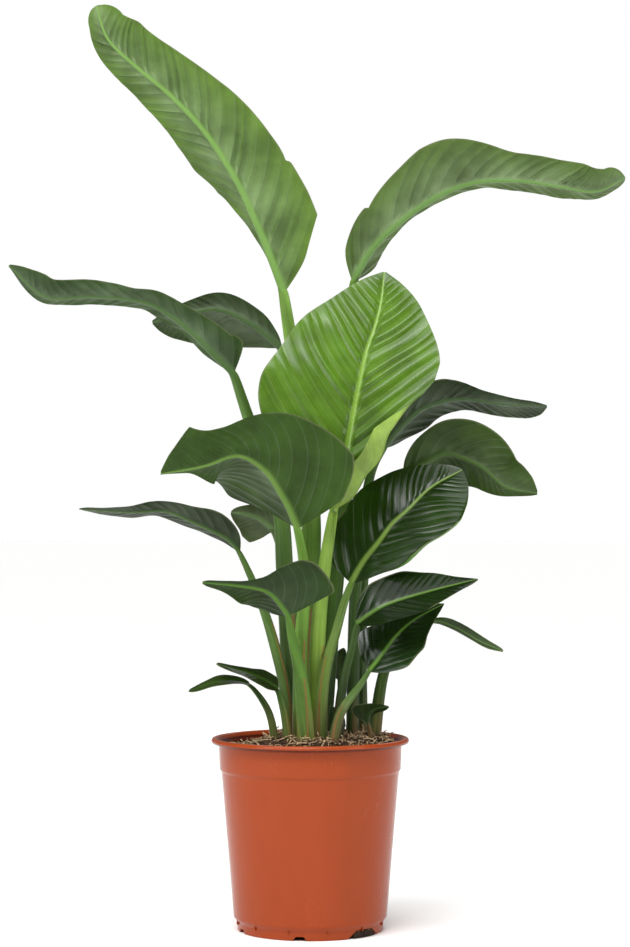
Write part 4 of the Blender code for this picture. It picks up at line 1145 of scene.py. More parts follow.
class PLANT_OT_pot(bpy.types.Operator):
    """Builds the nursery pot: a turned cup with a lip, a band and a foot ring that is cut for drainage"""

    bl_idname = "plant.pot"
    bl_label = "Nursery pot"

    def execute(self, context):
        settings = context.scene.pot_settings
        rough = bpy.data.objects.new("pot_rough", turned("pot_rough", pot_profile(settings), 160))
        tool = drainage_tool(settings)
        for obj in (rough, tool):
            context.scene.collection.objects.link(obj)
        boolean = rough.modifiers.new("drainage", "BOOLEAN")
        boolean.operation = "DIFFERENCE"
        boolean.solver = "EXACT"
        boolean.object = tool
        mesh = plain_mesh(rough, "nursery_pot_moulded")
        for obj in (rough, tool):
            bpy.data.objects.remove(obj)
        if len(mesh.polygons) < 5000:
            raise RuntimeError("the pot's cut failed")
        mesh.polygons.foreach_set("use_smooth", [True] * len(mesh.polygons))
        mesh.set_sharp_from_angle(angle=math.radians(38))
        plastic = polypropylene("polypropylene_terracotta_moulded", tuple(settings.colour))
        add_object("nursery_pot_moulded", mesh, plastic, "nursery_pot")
        return {"FINISHED"}


def node_tree(name, inputs):
    """A geometry tree with the named inputs, each (name, socket type, default)."""
    tree = bpy.data.node_groups.new(name, "GeometryNodeTree")
    tree.interface.new_socket(name="Geometry", in_out="OUTPUT", socket_type="NodeSocketGeometry")
    tree.interface.new_socket(name="Geometry", in_out="INPUT", socket_type="NodeSocketGeometry")
    for label, kind, default in inputs:
        socket = tree.interface.new_socket(name=label, in_out="INPUT", socket_type=kind)
        socket.default_value = default
    return tree


def grown(name, start, tree, values):
    """The plain mesh that the tree makes from a start mesh, with its inputs set by name."""
    obj = bpy.data.objects.new(name + "_start", start)
    bpy.context.scene.collection.objects.link(obj)
    modifier = obj.modifiers.new(name, "NODES")
    modifier.node_group = tree
    for item in tree.interface.items_tree:
        if item.in_out == "INPUT" and item.name in values:
            modifier[item.identifier] = values[item.name]
    mesh = plain_mesh(obj, name)
    bpy.data.objects.remove(obj)
    if not mesh.polygons:
        raise RuntimeError(f"{name} came out empty")
    return mesh


class PLANT_OT_foot_ticks(bpy.types.Operator):
    """Sets small moulded ribs in the crease above the foot ring"""

    bl_idname = "plant.foot_ticks"
    bl_label = "Foot ticks"

    def execute(self, context):
        settings = context.scene.pot_settings
        foot = pot_radii(settings)[4]
        plastic = bpy.data.materials["polypropylene_terracotta_moulded"]
        tree = node_tree("foot_ticks", (
            ("Count", "NodeSocketInt", 12),
            ("Radius", "NodeSocketFloat", 0.08),
            ("Height", "NodeSocketFloat", 0.01),
            ("Turn", "NodeSocketFloat", 0.0),
        ))
        given = add(tree, "NodeGroupInput").outputs
        rib = add(tree, "GeometryNodeMeshCube", {"Size": (0.0026, 0.0006, 0.0048)})
        ring = add(tree, "GeometryNodeMeshCircle", {"Vertices": given["Count"], "Radius": given["Radius"]})
        spun = add(tree, "ShaderNodeCombineXYZ", {2: given["Turn"]})
        lifted = add(tree, "ShaderNodeCombineXYZ", {2: given["Height"]})
        placed = add(tree, "GeometryNodeTransform", {
            "Geometry": ring, "Translation": lifted, "Rotation": spun,
        })
        where = add(tree, "GeometryNodeInputPosition")
        aligned = add(
            tree, "FunctionNodeAlignRotationToVector", {"Vector": where}, axis="X", pivot_axis="Z"
        )
        copies = add(tree, "GeometryNodeInstanceOnPoints", {
            "Points": placed, "Instance": rib, "Rotation": aligned,
        })
        real = add(tree, "GeometryNodeRealizeInstances", {"Geometry": copies})
        painted = add(tree, "GeometryNodeSetMaterial", {"Geometry": real, "Material": plastic})
        add(tree, "NodeGroupOutput", {"Geometry": painted})
        start = bpy.data.meshes.new("foot_ticks_start")
        values = {
            "Count": settings.tick_count, "Radius": foot + 0.0012,
            "Height": FOOT_TOP - 0.0042, "Turn": math.radians(-136.5),
        }
        mesh = grown("foot_ticks", start, tree, values)
        add_object("foot_ticks", mesh, None, ())
        return {"FINISHED"}


# ---------------------------------------------------------------- soil and roots
SOIL_RINGS = 64
SOIL_SPOKES = 200
HEAP_WIDTH = 0.024  # how far the soil heaped against a stalk reaches out from it
FIBRE_COUNT = 46  # in the root tuft


def stalk_feet():
    """Where the stalks leave the soil, and how wide each is there."""
    places = np.array([leaf.stalk[0][:2] for leaf in LEAVES], float)
    widths = np.array([leaf.base_size[0] for leaf in LEAVES], float)
    return places, widths


def soil_height(x, y, mound):
    """Height of the soil at a place: heaped round the stalks, low at the wall, and lumpy."""
    places, widths = stalk_feet()
    away = np.sqrt((x[..., None] - places[:, 0]) ** 2 + (y[..., None] - places[:, 1]) ** 2)
    near = (away - widths / 2).min(axis=-1)
    heap = mound * np.exp(-((np.maximum(near, 0) / HEAP_WIDTH) ** 2))
    lumps = 0.0013 * np.sin(x * 210 + 1.3) * np.sin(y * 260 + 0.4) + 0.0009 * np.sin(x * 520 + y * 330)
    lumps = lumps + 0.0006 * np.sin(x * 1150 - y * 900 + 2) + 0.0006 * np.sin(y * 1300 + x * 700)
    radius = np.hypot(x, y)
    edge = np.clip((SOIL_RADIUS - radius) / 0.01, 0, 1)
    return SOIL_TOP - 0.0015 * (1 - edge) + heap * edge + lumps * (0.4 + 0.6 * edge)


def soil_top_mesh(mound):
    """The soil's top as a sheet of rings round the axis."""
    points = [(0.0, 0.0)]
    around = np.arange(SOIL_SPOKES) * 2 * math.pi / SOIL_SPOKES
    for ring in range(1, SOIL_RINGS + 1):
        radius = SOIL_RADIUS * ring / SOIL_RINGS
        points += [(radius * math.cos(a), radius * math.sin(a)) for a in around]
    flat = np.array(points)
    height = soil_height(flat[:, 0], flat[:, 1], mound)
    faces = [(0, 1 + s, 1 + (s + 1) % SOIL_SPOKES) for s in range(SOIL_SPOKES)]
    for ring in range(SOIL_RINGS - 1):
        for s in range(SOIL_SPOKES):
            a = 1 + ring * SOIL_SPOKES + s
            b = 1 + ring * SOIL_SPOKES + (s + 1) % SOIL_SPOKES
            faces.append((a, a + SOIL_SPOKES, b + SOIL_SPOKES, b))
    return np.column_stack([flat, height]), faces


def peat(name):
    """Moist peat and composted bark, loose: nearly black, with brown grains and no shine."""
    material, tree = new_material(name)
    place = add(tree, "ShaderNodeTexCoord").outputs["Object"]
    # Grains 2 mm across, and damp patches 15 mm across.
    grains = add(tree, "ShaderNodeTexNoise", {
        "Vector": place, "Scale": 480.0, "Detail": 5.0, "Roughness": 0.7,
    })
    patches = add(tree, "ShaderNodeTexNoise", {"Vector": place, "Scale": 65.0, "Detail": 3.0})
    grain = add(tree, "ShaderNodeMapRange", (grains, 0.38, 0.68, 0.0, 1.0))
    dark, light = linear("#1C120C"), linear("#5A4330")
    tone = add(tree, "ShaderNodeMix", {0: grain, 6: dark, 7: light}, data_type="RGBA")
    patch = add(tree, "ShaderNodeMapRange", (patches, 0.4, 0.62, 0.0, 0.6))
    tone = add(tree, "ShaderNodeMix", {0: patch, 6: tone, 7: linear("#2A1C13")}, data_type="RGBA")
    bump = add(tree, "ShaderNodeBump", {"Height": grains, "Strength": 0.9, "Distance": 0.0015})
    shader = add(tree, "ShaderNodeBsdfPrincipled", {
        "Base Color": tone, "Roughness": 0.95, "Specular IOR Level": 0.25, "Normal": bump,
    })
    add(tree, "ShaderNodeOutputMaterial", (shader,))
    return material


def grainy(name, dark, light, scale, stretch, roughness=0.85):
    """Dry plant matter, torn or shredded: two tones from piece to piece, with a grain along it."""
    material, tree = new_material(name)
    place = add(tree, "ShaderNodeTexCoord").outputs["Object"]
    patches = add(tree, "ShaderNodeTexNoise", {"Vector": place, "Scale": scale, "Detail": 2.0})
    spread = add(tree, "ShaderNodeMapRange", (patches, 0.35, 0.65, 0.0, 1.0))
    lined = add(tree, "ShaderNodeMapping", {"Vector": place, "Scale": stretch})
    grain = add(tree, "ShaderNodeTexNoise", {"Vector": lined, "Scale": 900.0, "Detail": 3.0})
    tone = add(tree, "ShaderNodeMix", {0: spread, 6: linear(dark), 7: linear(light)}, data_type="RGBA")
    shading = add(tree, "ShaderNodeMapRange", (grain, 0.3, 0.7, 0.65, 1.2))
    tone = add(tree, "ShaderNodeVectorMath", {0: tone, "Scale": shading}, operation="SCALE")
    bump = add(tree, "ShaderNodeBump", {"Height": grain, "Strength": 0.5, "Distance": 0.0004})
    shader = add(tree, "ShaderNodeBsdfPrincipled", {
        "Base Color": tone, "Roughness": roughness, "Specular IOR Level": 0.3, "Normal": bump,
    })
    add(tree, "ShaderNodeOutputMaterial", (shader,))
    return material


class PLANT_OT_soil(bpy.types.Operator):
    """Builds the bed of potting soil, heaped round the stalks"""

    bl_idname = "plant.soil"
    bl_label = "Potting soil"

    def execute(self, context):
        points, faces = soil_top_mesh(context.scene.soil_settings.mound)
        rim = len(points) - SOIL_SPOKES
        under = rim + SOIL_SPOKES
        foot = RIM_RADIUS * 0.72
        around = np.arange(SOIL_SPOKES) * 2 * math.pi / SOIL_SPOKES
        lower = np.array([(foot * math.cos(a), foot * math.sin(a), SOIL_LOW.z) for a in around])
        everything = np.concatenate([points, lower])
        for s in range(SOIL_SPOKES):
            t = (s + 1) % SOIL_SPOKES
            faces.append((rim + t, rim + s, under + s, under + t))
        faces.append(tuple(under + s for s in range(SOIL_SPOKES)))
        mesh = closed_mesh("potting_soil_bed", everything, faces, 75)
        add_object("potting_soil_bed", mesh, peat("peat_soil_loose"), "potting_soil")
        return {"FINISHED"}


def scatter_tree(name):
    """A tree that scatters shapes over a surface: density, seed, size and tilt are its inputs."""
    return node_tree(name, (
        ("Density", "NodeSocketFloat", 1000.0),
        ("Seed", "NodeSocketInt", 1),
        ("Smallest", "NodeSocketFloat", 0.3),
        ("Largest", "NodeSocketFloat", 1.0),
        ("Tilt", "NodeSocketFloat", 3.14),
    ))


def finish_scatter(tree, given, shapes, material):
    """Scatters the shapes, turned and sized at random, makes them real and gives them their material."""
    points = add(tree, "GeometryNodeDistributePointsOnFaces", {
        "Mesh": given["Geometry"], "Density": given["Density"], "Seed": given["Seed"],
    })
    tilt = given["Tilt"]
    low = add(tree, "ShaderNodeMath", (tilt, -1.0), operation="MULTIPLY")
    lowest = add(tree, "ShaderNodeCombineXYZ", (low, low, 0.0))
    highest = add(tree, "ShaderNodeCombineXYZ", (tilt, tilt, 6.283))
    turn = add(tree, "FunctionNodeRandomValue", {
        "Min": lowest, "Max": highest, "Seed": given["Seed"],
    }, data_type="FLOAT_VECTOR")
    small = add(tree, "ShaderNodeCombineXYZ", [given["Smallest"]] * 3)
    large = add(tree, "ShaderNodeCombineXYZ", [given["Largest"]] * 3)
    size = add(tree, "FunctionNodeRandomValue", {
        "Min": small, "Max": large, "Seed": given["Seed"],
    }, data_type="FLOAT_VECTOR")
    joined = add(tree, "GeometryNodeJoinGeometry")
    for shape in shapes:
        single = add(tree, "GeometryNodeGeometryToInstance", (shape,))
        tree.links.new(single.outputs[0], joined.inputs[0])
    copies = add(tree, "GeometryNodeInstanceOnPoints", {
        "Points": points, "Instance": joined, "Pick Instance": True, "Rotation": turn, "Scale": size,
    })
    real = add(tree, "GeometryNodeRealizeInstances", {"Geometry": copies})
    painted = add(tree, "GeometryNodeSetMaterial", {"Geometry": real, "Material": material})
    add(tree, "NodeGroupOutput", {"Geometry": painted})


class PLANT_OT_soil_litter(bpy.types.Operator):
    """Scatters crumbs of peat, chips of bark and dry fibres over the soil"""

    bl_idname = "plant.soil_litter"
    bl_label = "Crumbs, bark and fibres"

    def execute(self, context):
        settings = context.scene.soil_settings
        self.crumbs(settings)
        self.chips(settings)
        self.fibres(settings)
        return {"FINISHED"}

    def scatter(self, name, settings, material, shape_kind, shapes, values, inset):
        """Scatters one kind of piece over the soil's top, drawn in from the wall by inset."""
        points, faces = soil_top_mesh(settings.mound)
        points[:, :2] *= inset
        points[:, 2] = soil_height(points[:, 0], points[:, 1], settings.mound)
        cover = bpy.data.meshes.new(name + "_cover")
        cover.from_pydata(points.tolist(), [], faces)
        tree = scatter_tree(name)
        given = add(tree, "NodeGroupInput").outputs
        finish_scatter(tree, given, [shape_kind(tree, *shape) for shape in shapes], material)
        add_object(name, grown(name, cover, tree, values), None, ())

    def lump(self, tree, radius, scale):
        """A small ball squashed to a crumb or a chip."""
        ball = add(tree, "GeometryNodeMeshIcoSphere", {"Radius": radius, "Subdivisions": 1})
        return add(tree, "GeometryNodeTransform", {"Geometry": ball, "Scale": scale})

    def fibre(self, tree, start, middle, end):
        bend = add(tree, "GeometryNodeCurveQuadraticBezier", {
            "Resolution": 6, "Start": start, "Middle": middle, "End": end,
        })
        ring = add(tree, "GeometryNodeCurvePrimitiveCircle", {"Resolution": 3, "Radius": 0.00058})
        return add(tree, "GeometryNodeCurveToMesh", {
            "Curve": bend, "Profile Curve": ring, "Fill Caps": True,
        })

    def crumbs(self, settings):
        soil = grainy("peat_crumbs_sieved", "#1E140E", "#54402F", 300.0, (1, 1, 1), 0.95)
        shapes = ((1.0, (1.0, 0.8, 0.6)), (1.0, (0.7, 1.0, 0.9)))
        values = {
            "Density": settings.crumb_density, "Seed": 11, "Tilt": 3.14,
            "Smallest": settings.crumb_size * 0.25, "Largest": settings.crumb_size,
        }
        self.scatter("peat_crumbs", settings, soil, self.lump, shapes, values, 0.97)

    def chips(self, settings):
        bark = grainy("pine_bark_composted", "#3A2417", "#8A6B4C", 220.0, (1, 0.2, 0.2))
        sizes = ((0.007, 0.0034, 0.0012), (0.0050, 0.0040, 0.0016), (0.0100, 0.0020, 0.0010))
        values = {
            "Density": settings.chip_density, "Seed": 23, "Tilt": 0.8, "Smallest": 0.6, "Largest": 1.25,
        }
        self.scatter("bark_chips", settings, bark, self.lump, [(0.5, size) for size in sizes], values, 0.93)

    def fibres(self, settings):
        straw = grainy("coir_fibre_dry", "#6A4A30", "#D6BA92", 260.0, (1, 1, 1))
        bends = (
            ((-0.006, 0, 0), (0.0, 0.004, 0.0030), (0.006, -0.001, 0)),
            ((-0.009, 0, -0.001), (0.0, -0.005, 0.0050), (0.007, 0.002, 0.002)),
            ((-0.004, 0, 0), (0.002, 0.005, 0.0050), (0.003, 0.002, 0.007)),
            ((-0.008, 0.002, 0), (0.0, 0.0005, 0.0020), (0.009, 0.001, 0.0005)),
        )
        values = {
            "Density": settings.fibre_density, "Seed": 5, "Tilt": 0.9, "Smallest": 0.5, "Largest": 1.45,
        }
        self.scatter("coir_fibres", settings, straw, self.fibre, bends, values, 0.93)


def tube_along(line, radii, sides, first):
    """Rings of points round a line, and the faces between them, numbered from first."""
    tangent = unit(np.gradient(line, axis=0))
    up = np.array((0.0, 0.0, 1.0))
    sideways = unit(np.cross(tangent, up) + 1e-6)
    rise = np.cross(sideways, tangent)
    turn = np.arange(sides) * 2 * math.pi / sides
    ring = sideways[:, None] * np.cos(turn)[None, :, None] + rise[:, None] * np.sin(turn)[None, :, None]
    points = line[:, None] + ring * radii[:, None, None]
    return points.reshape(-1, 3), ring_faces(len(line), sides, first)


class PLANT_OT_roots(bpy.types.Operator):
    """Builds the roots that show in the wide gap of the foot ring, and gives the core behind them a pressed
    peat finish
    """

    bl_idname = "plant.roots"
    bl_label = "Roots in the foot gap"

    def execute(self, context):
        foot = pot_radii(context.scene.pot_settings)[4]
        rng = np.random.default_rng(8)
        points, faces = [], []
        count = 0
        spread = 20.0  # degrees
        for _ in range(FIBRE_COUNT):
            middle = GAP_ANGLE + rng.uniform(-0.5, 0.5) * spread * 1.05
            length = rng.uniform(6, 16)
            radius = foot + rng.uniform(-0.0042, 0.0002)
            crest = 0.0072 * math.cos(math.radians((middle - GAP_ANGLE) * 4.0))
            height = rng.uniform(0.0012, max(crest, 0.0018))
            t = np.linspace(-0.5, 0.5, 12)
            angle = np.radians(middle + t * length)
            wave = 0.0010 * np.sin(t * rng.uniform(4, 11) + rng.uniform(0, 6))
            away = radius + 0.0006 * np.sin(t * rng.uniform(5, 12) + rng.uniform(0, 6))
            z = np.clip(height + wave + rng.uniform(-0.003, 0.003) * t, 0.0007, 0.0079)
            line = np.column_stack([away * np.cos(angle), away * np.sin(angle), z])
            thick = rng.uniform(0.0003, 0.0009)
            radii = thick * (1 - 0.6 * np.abs(2 * t) ** 3)
            made, ring = tube_along(line, radii, 7, count)
            points.append(made)
            faces += ring
            count += len(made)
        mesh = bpy.data.meshes.new("root_tuft_fibrous")
        mesh.from_pydata(np.concatenate(points).tolist(), [], faces)
        shape = bmesh.new()
        shape.from_mesh(mesh)
        bmesh.ops.recalc_face_normals(shape, faces=shape.faces)
        shape.to_mesh(mesh)
        shape.free()
        mesh.polygons.foreach_set("use_smooth", [True] * len(mesh.polygons))
        root = grainy("roots_fibrous_dry", "#3B2418", "#A07A58", 330.0, (1, 1, 0.3))
        add_object("root_tuft_fibrous", mesh, root, ())
        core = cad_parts["root_tuft"]
        dark = grainy("peat_pressed_in_gap", "#140C08", "#3A281C", 300.0, (1, 1, 1), 0.95)
        core.data.materials.clear()
        core.data.materials.append(dark)
        return {"FINISHED"}


# ---------------------------------------------------------------- leaf materials
def leaf_lamina(name, finish, seed):
    """Living leaf with a waxy cuticle: glossy above, paler and duller below, lined by close side veins."""
    material, tree = new_material(name)
    place = add(tree, "ShaderNodeTexCoord").outputs["Object"]
    veins = add(tree, "ShaderNodeUVMap", uv_map="veins")
    kept = ("under", "crease", "count", "wax", "rib", "edge")
    stored = {key: add(tree, "ShaderNodeAttribute", attribute_name=key).outputs["Fac"] for key in kept}
    # A side vein lies where the count of pleats is whole: sunken above, a fine raised line below.
    turn = add(tree, "ShaderNodeMath", (stored["count"], math.pi), operation="MULTIPLY")
    swing = add(tree, "ShaderNodeMath", (turn,), operation="SINE")
    from_vein = add(tree, "ShaderNodeMath", (swing,), operation="ABSOLUTE")
    near_vein = add(tree, "ShaderNodeMapRange", (from_vein, 0.02, 0.20, 1.0, 0.0))
    valley = add(tree, "ShaderNodeMath", (near_vein, stored["crease"]), operation="MULTIPLY")
    # Streaks along the side veins, 3 mm wide and 60 mm long; a real leaf's fine veins are 1 mm apart.
    along = add(tree, "ShaderNodeMapping", {
        "Vector": veins, "Location": (seed, 0, 0), "Scale": (330, 16, 1),
    })
    streak = add(tree, "ShaderNodeTexNoise", {"Vector": along, "Scale": 1.0, "Detail": 3.0})
    fine = add(tree, "ShaderNodeMapping", {
        "Vector": veins, "Location": (0, seed, 0), "Scale": (800, 22, 1),
    })
    thread = add(tree, "ShaderNodeTexNoise", {"Vector": fine, "Scale": 1.0, "Detail": 2.0})
    # Cloudy patches 35 mm across, where the blade is older or more in the light.
    patch = add(tree, "ShaderNodeTexNoise", {"Vector": place, "Scale": 28.0, "Detail": 3.0})

    top = linear(finish.upper)
    low = linear(finish.under)
    wax = waxed(low)
    streaks = add(tree, "ShaderNodeMapRange", (streak, 0.3, 0.7, 0, 1))
    dark, pale = shade(top, 0.93), shade(top, 1.07, 0.15)
    top_tone = add(tree, "ShaderNodeMix", {0: streaks, 6: dark, 7: pale}, data_type="RGBA")
    dark, pale = shade(low, 0.92), shade(low, 1.08, 0.10)
    low_tone = add(tree, "ShaderNodeMix", {0: streaks, 6: dark, 7: pale}, data_type="RGBA")
    mix = add(tree, "ShaderNodeMath", (valley, 0.55), operation="MULTIPLY")
    top_tone = add(tree, "ShaderNodeMix", {0: mix, 6: top_tone, 7: shade(top, 1.7, 0.55)}, data_type="RGBA")
    # Grey wax lies thickest beside the midrib and on the veins, and thins out towards the margin.
    uneven = add(tree, "ShaderNodeMapRange", (patch, 0.3, 0.7, 0.7, 1.2))
    mix = add(tree, "ShaderNodeMath", (stored["wax"], uneven), operation="MULTIPLY")
    low_tone = add(tree, "ShaderNodeMix", {0: mix, 6: low_tone, 7: wax}, data_type="RGBA")
    mix = add(tree, "ShaderNodeMath", (valley, 0.16 + 0.24 * max(finish.bloom)), operation="MULTIPLY")
    low_tone = add(tree, "ShaderNodeMix", {0: mix, 6: low_tone, 7: shade(wax, 1.1)}, data_type="RGBA")
    tone = add(tree, "ShaderNodeMix", {0: stored["under"], 6: top_tone, 7: low_tone}, data_type="RGBA")
    cloud = add(tree, "ShaderNodeMapRange", (patch, 0.32, 0.68, 0.72, 1.28))
    thready = add(tree, "ShaderNodeMapRange", (thread, 0.3, 0.7, 0.93, 1.07))
    amount = add(tree, "ShaderNodeMath", (cloud, thready), operation="MULTIPLY")
    tone = add(tree, "ShaderNodeVectorMath", {0: tone, "Scale": amount}, operation="SCALE")
    mix = add(tree, "ShaderNodeMath", (stored["rib"], 0.85), operation="MULTIPLY")
    tone = add(tree, "ShaderNodeMix", {0: mix, 6: tone, 7: linear(finish.rib)}, data_type="RGBA")
    mix = add(tree, "ShaderNodeMath", (stored["edge"], 0.6), operation="MULTIPLY")
    tone = add(tree, "ShaderNodeMix", {0: mix, 6: tone, 7: linear("#6E7550")}, data_type="RGBA")
    # The underside is duller, and a streak is a little duller than the skin beside it.
    rough = add(tree, "ShaderNodeMix", {0: stored["under"], 2: finish.gloss, 3: 0.46}, data_type="FLOAT")
    dulling = add(tree, "ShaderNodeMapRange", (streak, 0.3, 0.7, -0.05, 0.07))
    rough = add(tree, "ShaderNodeMath", (rough, dulling), operation="ADD")
    # Between two veins the skin swells up like a pillow, and sinks when seen from below.
    pillow = add(tree, "ShaderNodeMath", (from_vein, 0.55), operation="POWER")
    facing = add(tree, "ShaderNodeMapRange", (stored["under"], 0.0, 1.0, finish.pleat, -finish.pleat))
    swelling = add(tree, "ShaderNodeMath", (pillow, stored["crease"]), operation="MULTIPLY")
    swelling = add(tree, "ShaderNodeMath", (swelling, facing), operation="MULTIPLY")
    bump = add(tree, "ShaderNodeBump", {"Height": swelling, "Strength": 1.0, "Distance": 1.0})
    bump = add(tree, "ShaderNodeBump", {
        "Height": thread, "Strength": 0.20, "Distance": 0.0003, "Normal": bump,
    })
    bump = add(tree, "ShaderNodeBump", {
        "Height": streak, "Strength": 0.12, "Distance": 0.0006, "Normal": bump,
    })
    shader = add(tree, "ShaderNodeBsdfPrincipled", {
        "Base Color": tone, "Roughness": rough, "IOR": 1.42, "Specular IOR Level": finish.shine,
        "Normal": bump,
    })
    add(tree, "ShaderNodeOutputMaterial", (shader,))
    return material


def leaf_stalk(name, finish, seed):
    """Living leaf stalk, fleshy and waxed: fine long lines, a paler channel and rusty sheath margins."""
    material, tree = new_material(name)
    place = add(tree, "ShaderNodeTexCoord").outputs["Object"]
    stem = add(tree, "ShaderNodeUVMap", uv_map="stem")
    kept = ("share", "channel", "height", "lip")
    stored = {key: add(tree, "ShaderNodeAttribute", attribute_name=key).outputs["Fac"] for key in kept}
    # Lines along the stalk 1.5 mm apart; a real stalk's are half that.
    lines = add(tree, "ShaderNodeMapping", {"Vector": stem, "Location": (seed, 0, 0), "Scale": (650, 9, 1)})
    line = add(tree, "ShaderNodeTexNoise", {"Vector": lines, "Scale": 1.0, "Detail": 3.0})
    broad = add(tree, "ShaderNodeMapping", {"Vector": stem, "Location": (0, seed, 0), "Scale": (150, 5, 1)})
    band = add(tree, "ShaderNodeTexNoise", {"Vector": broad, "Scale": 1.0, "Detail": 2.0})
    patch = add(tree, "ShaderNodeTexNoise", {"Vector": place, "Scale": 45.0, "Detail": 4.0})
    low = linear(finish.stalk_low)
    high = linear(finish.stalk_high)
    mix = add(tree, "ShaderNodeMapRange", (stored["share"], 0.15, 0.85, 0, 1))
    tone = add(tree, "ShaderNodeMix", {0: mix, 6: low, 7: high}, data_type="RGBA")
    banded = add(tree, "ShaderNodeMapRange", (band, 0.35, 0.65, 0.78, 1.20))
    lined = add(tree, "ShaderNodeMapRange", (line, 0.3, 0.7, 0.9, 1.1))
    patched = add(tree, "ShaderNodeMapRange", (patch, 0.3, 0.7, 0.9, 1.1))
    amount = add(tree, "ShaderNodeMath", (banded, lined), operation="MULTIPLY")
    amount = add(tree, "ShaderNodeMath", (amount, patched), operation="MULTIPLY")
    tone = add(tree, "ShaderNodeVectorMath", {0: tone, "Scale": amount}, operation="SCALE")
    mix = add(tree, "ShaderNodeMath", (stored["channel"], 0.35), operation="MULTIPLY")
    tone = add(tree, "ShaderNodeMix", {0: mix, 6: tone, 7: shade(high, 1.35, 0.3)}, data_type="RGBA")
    # The lowest few centimetres are flushed with rust and tan.
    near_soil = add(tree, "ShaderNodeMapRange", (stored["height"], 0.060, 0.004, 0.0, 1.0))
    uneven = add(tree, "ShaderNodeMapRange", (band, 0.42, 0.62, 0.05, 0.75))
    flush = add(tree, "ShaderNodeMath", (near_soil, uneven), operation="MULTIPLY")
    tone = add(tree, "ShaderNodeMix", {0: flush, 6: tone, 7: linear("#7C5A3A")}, data_type="RGBA")
    mix = add(tree, "ShaderNodeMath", (stored["lip"], 0.85), operation="MULTIPLY")
    tone = add(tree, "ShaderNodeMix", {0: mix, 6: tone, 7: linear("#8A4E2E")}, data_type="RGBA")
    rough = add(tree, "ShaderNodeMapRange", (line, 0.3, 0.7, 0.34, 0.46))
    bump = add(tree, "ShaderNodeBump", {"Height": line, "Strength": 0.4, "Distance": 0.0004})
    shader = add(tree, "ShaderNodeBsdfPrincipled", {
        "Base Color": tone, "Roughness": rough, "IOR": 1.42, "Specular IOR Level": 0.28, "Normal": bump,
    })
    add(tree, "ShaderNodeOutputMaterial", (shader,))
    return material


class PLANT_OT_blades(bpy.types.Operator):
    """Builds every leaf's blade: pleated, with its midrib, its thin margin and its tears"""

    bl_idname = "plant.blades"
    bl_label = "Leaf blades"

    def execute(self, context):
        settings = context.scene.plant_settings
        for number, leaf in enumerate(LEAVES):
            finish = FINISHES[leaf.name]
            mesh = blade_mesh(leaf, finish, settings, 100 * number + 7)
            material = leaf_lamina("leaf_lamina_waxy_" + leaf.name[-2:], finish, 3.7 * number + 1)
            mesh.name = leaf.name + "_blade_living"
            add_object(mesh.name, mesh, material, leaf.name + "_blade")
        return {"FINISHED"}


class PLANT_OT_stalks(bpy.types.Operator):
    """Builds every leaf's stalk: channelled under the blade, and sheathed near the soil"""

    bl_idname = "plant.stalks"
    bl_label = "Leaf stalks"

    def execute(self, context):
        for number, leaf in enumerate(LEAVES):
            finish = FINISHES[leaf.name]
            mesh = stalk_mesh(leaf, finish)
            material = leaf_stalk("leaf_stalk_fleshy_" + leaf.name[-2:], finish, 2.3 * number + 1)
            mesh.name = leaf.name + "_stalk_living"
            add_object(mesh.name, mesh, material, leaf.name + "_stalk")
        return {"FINISHED"}


# ---------------------------------------------------------------- studio
def painted_floor(name, colour):
    """Matt painted board: near white, with a barely seen grain."""
    material, tree = new_material(name)
    place = add(tree, "ShaderNodeTexCoord").outputs["Object"]
    grain = add(tree, "ShaderNodeTexNoise", {"Vector": place, "Scale": 6.0, "Detail": 2.0})
    mix = add(tree, "ShaderNodeMapRange", (grain, 0.3, 0.7, 0, 1))
    base = (*colour, 1.0)
    tone = add(tree, "ShaderNodeMix", {0: mix, 6: base, 7: shade(base, 0.99)}, data_type="RGBA")
    shader = add(tree, "ShaderNodeBsdfPrincipled", {
        "Base Color": tone, "Roughness": 0.9, "Specular IOR Level": 0.1,
    })
    add(tree, "ShaderNodeOutputMaterial", (shader,))
    return material


def area_light(name, place, target, size, power):
    light = bpy.data.lights.new(name, "AREA")
    light.shape = "RECTANGLE"
    light.size, light.size_y = size
    light.energy = power
    obj = bpy.data.objects.new(name, light)
    obj.location = place
    way = np.array(target, float) - np.array(place, float)
    obj.rotation_euler = Vector(way).to_track_quat("-Z", "Y").to_euler()
    bpy.context.scene.collection.objects.link(obj)
    return obj


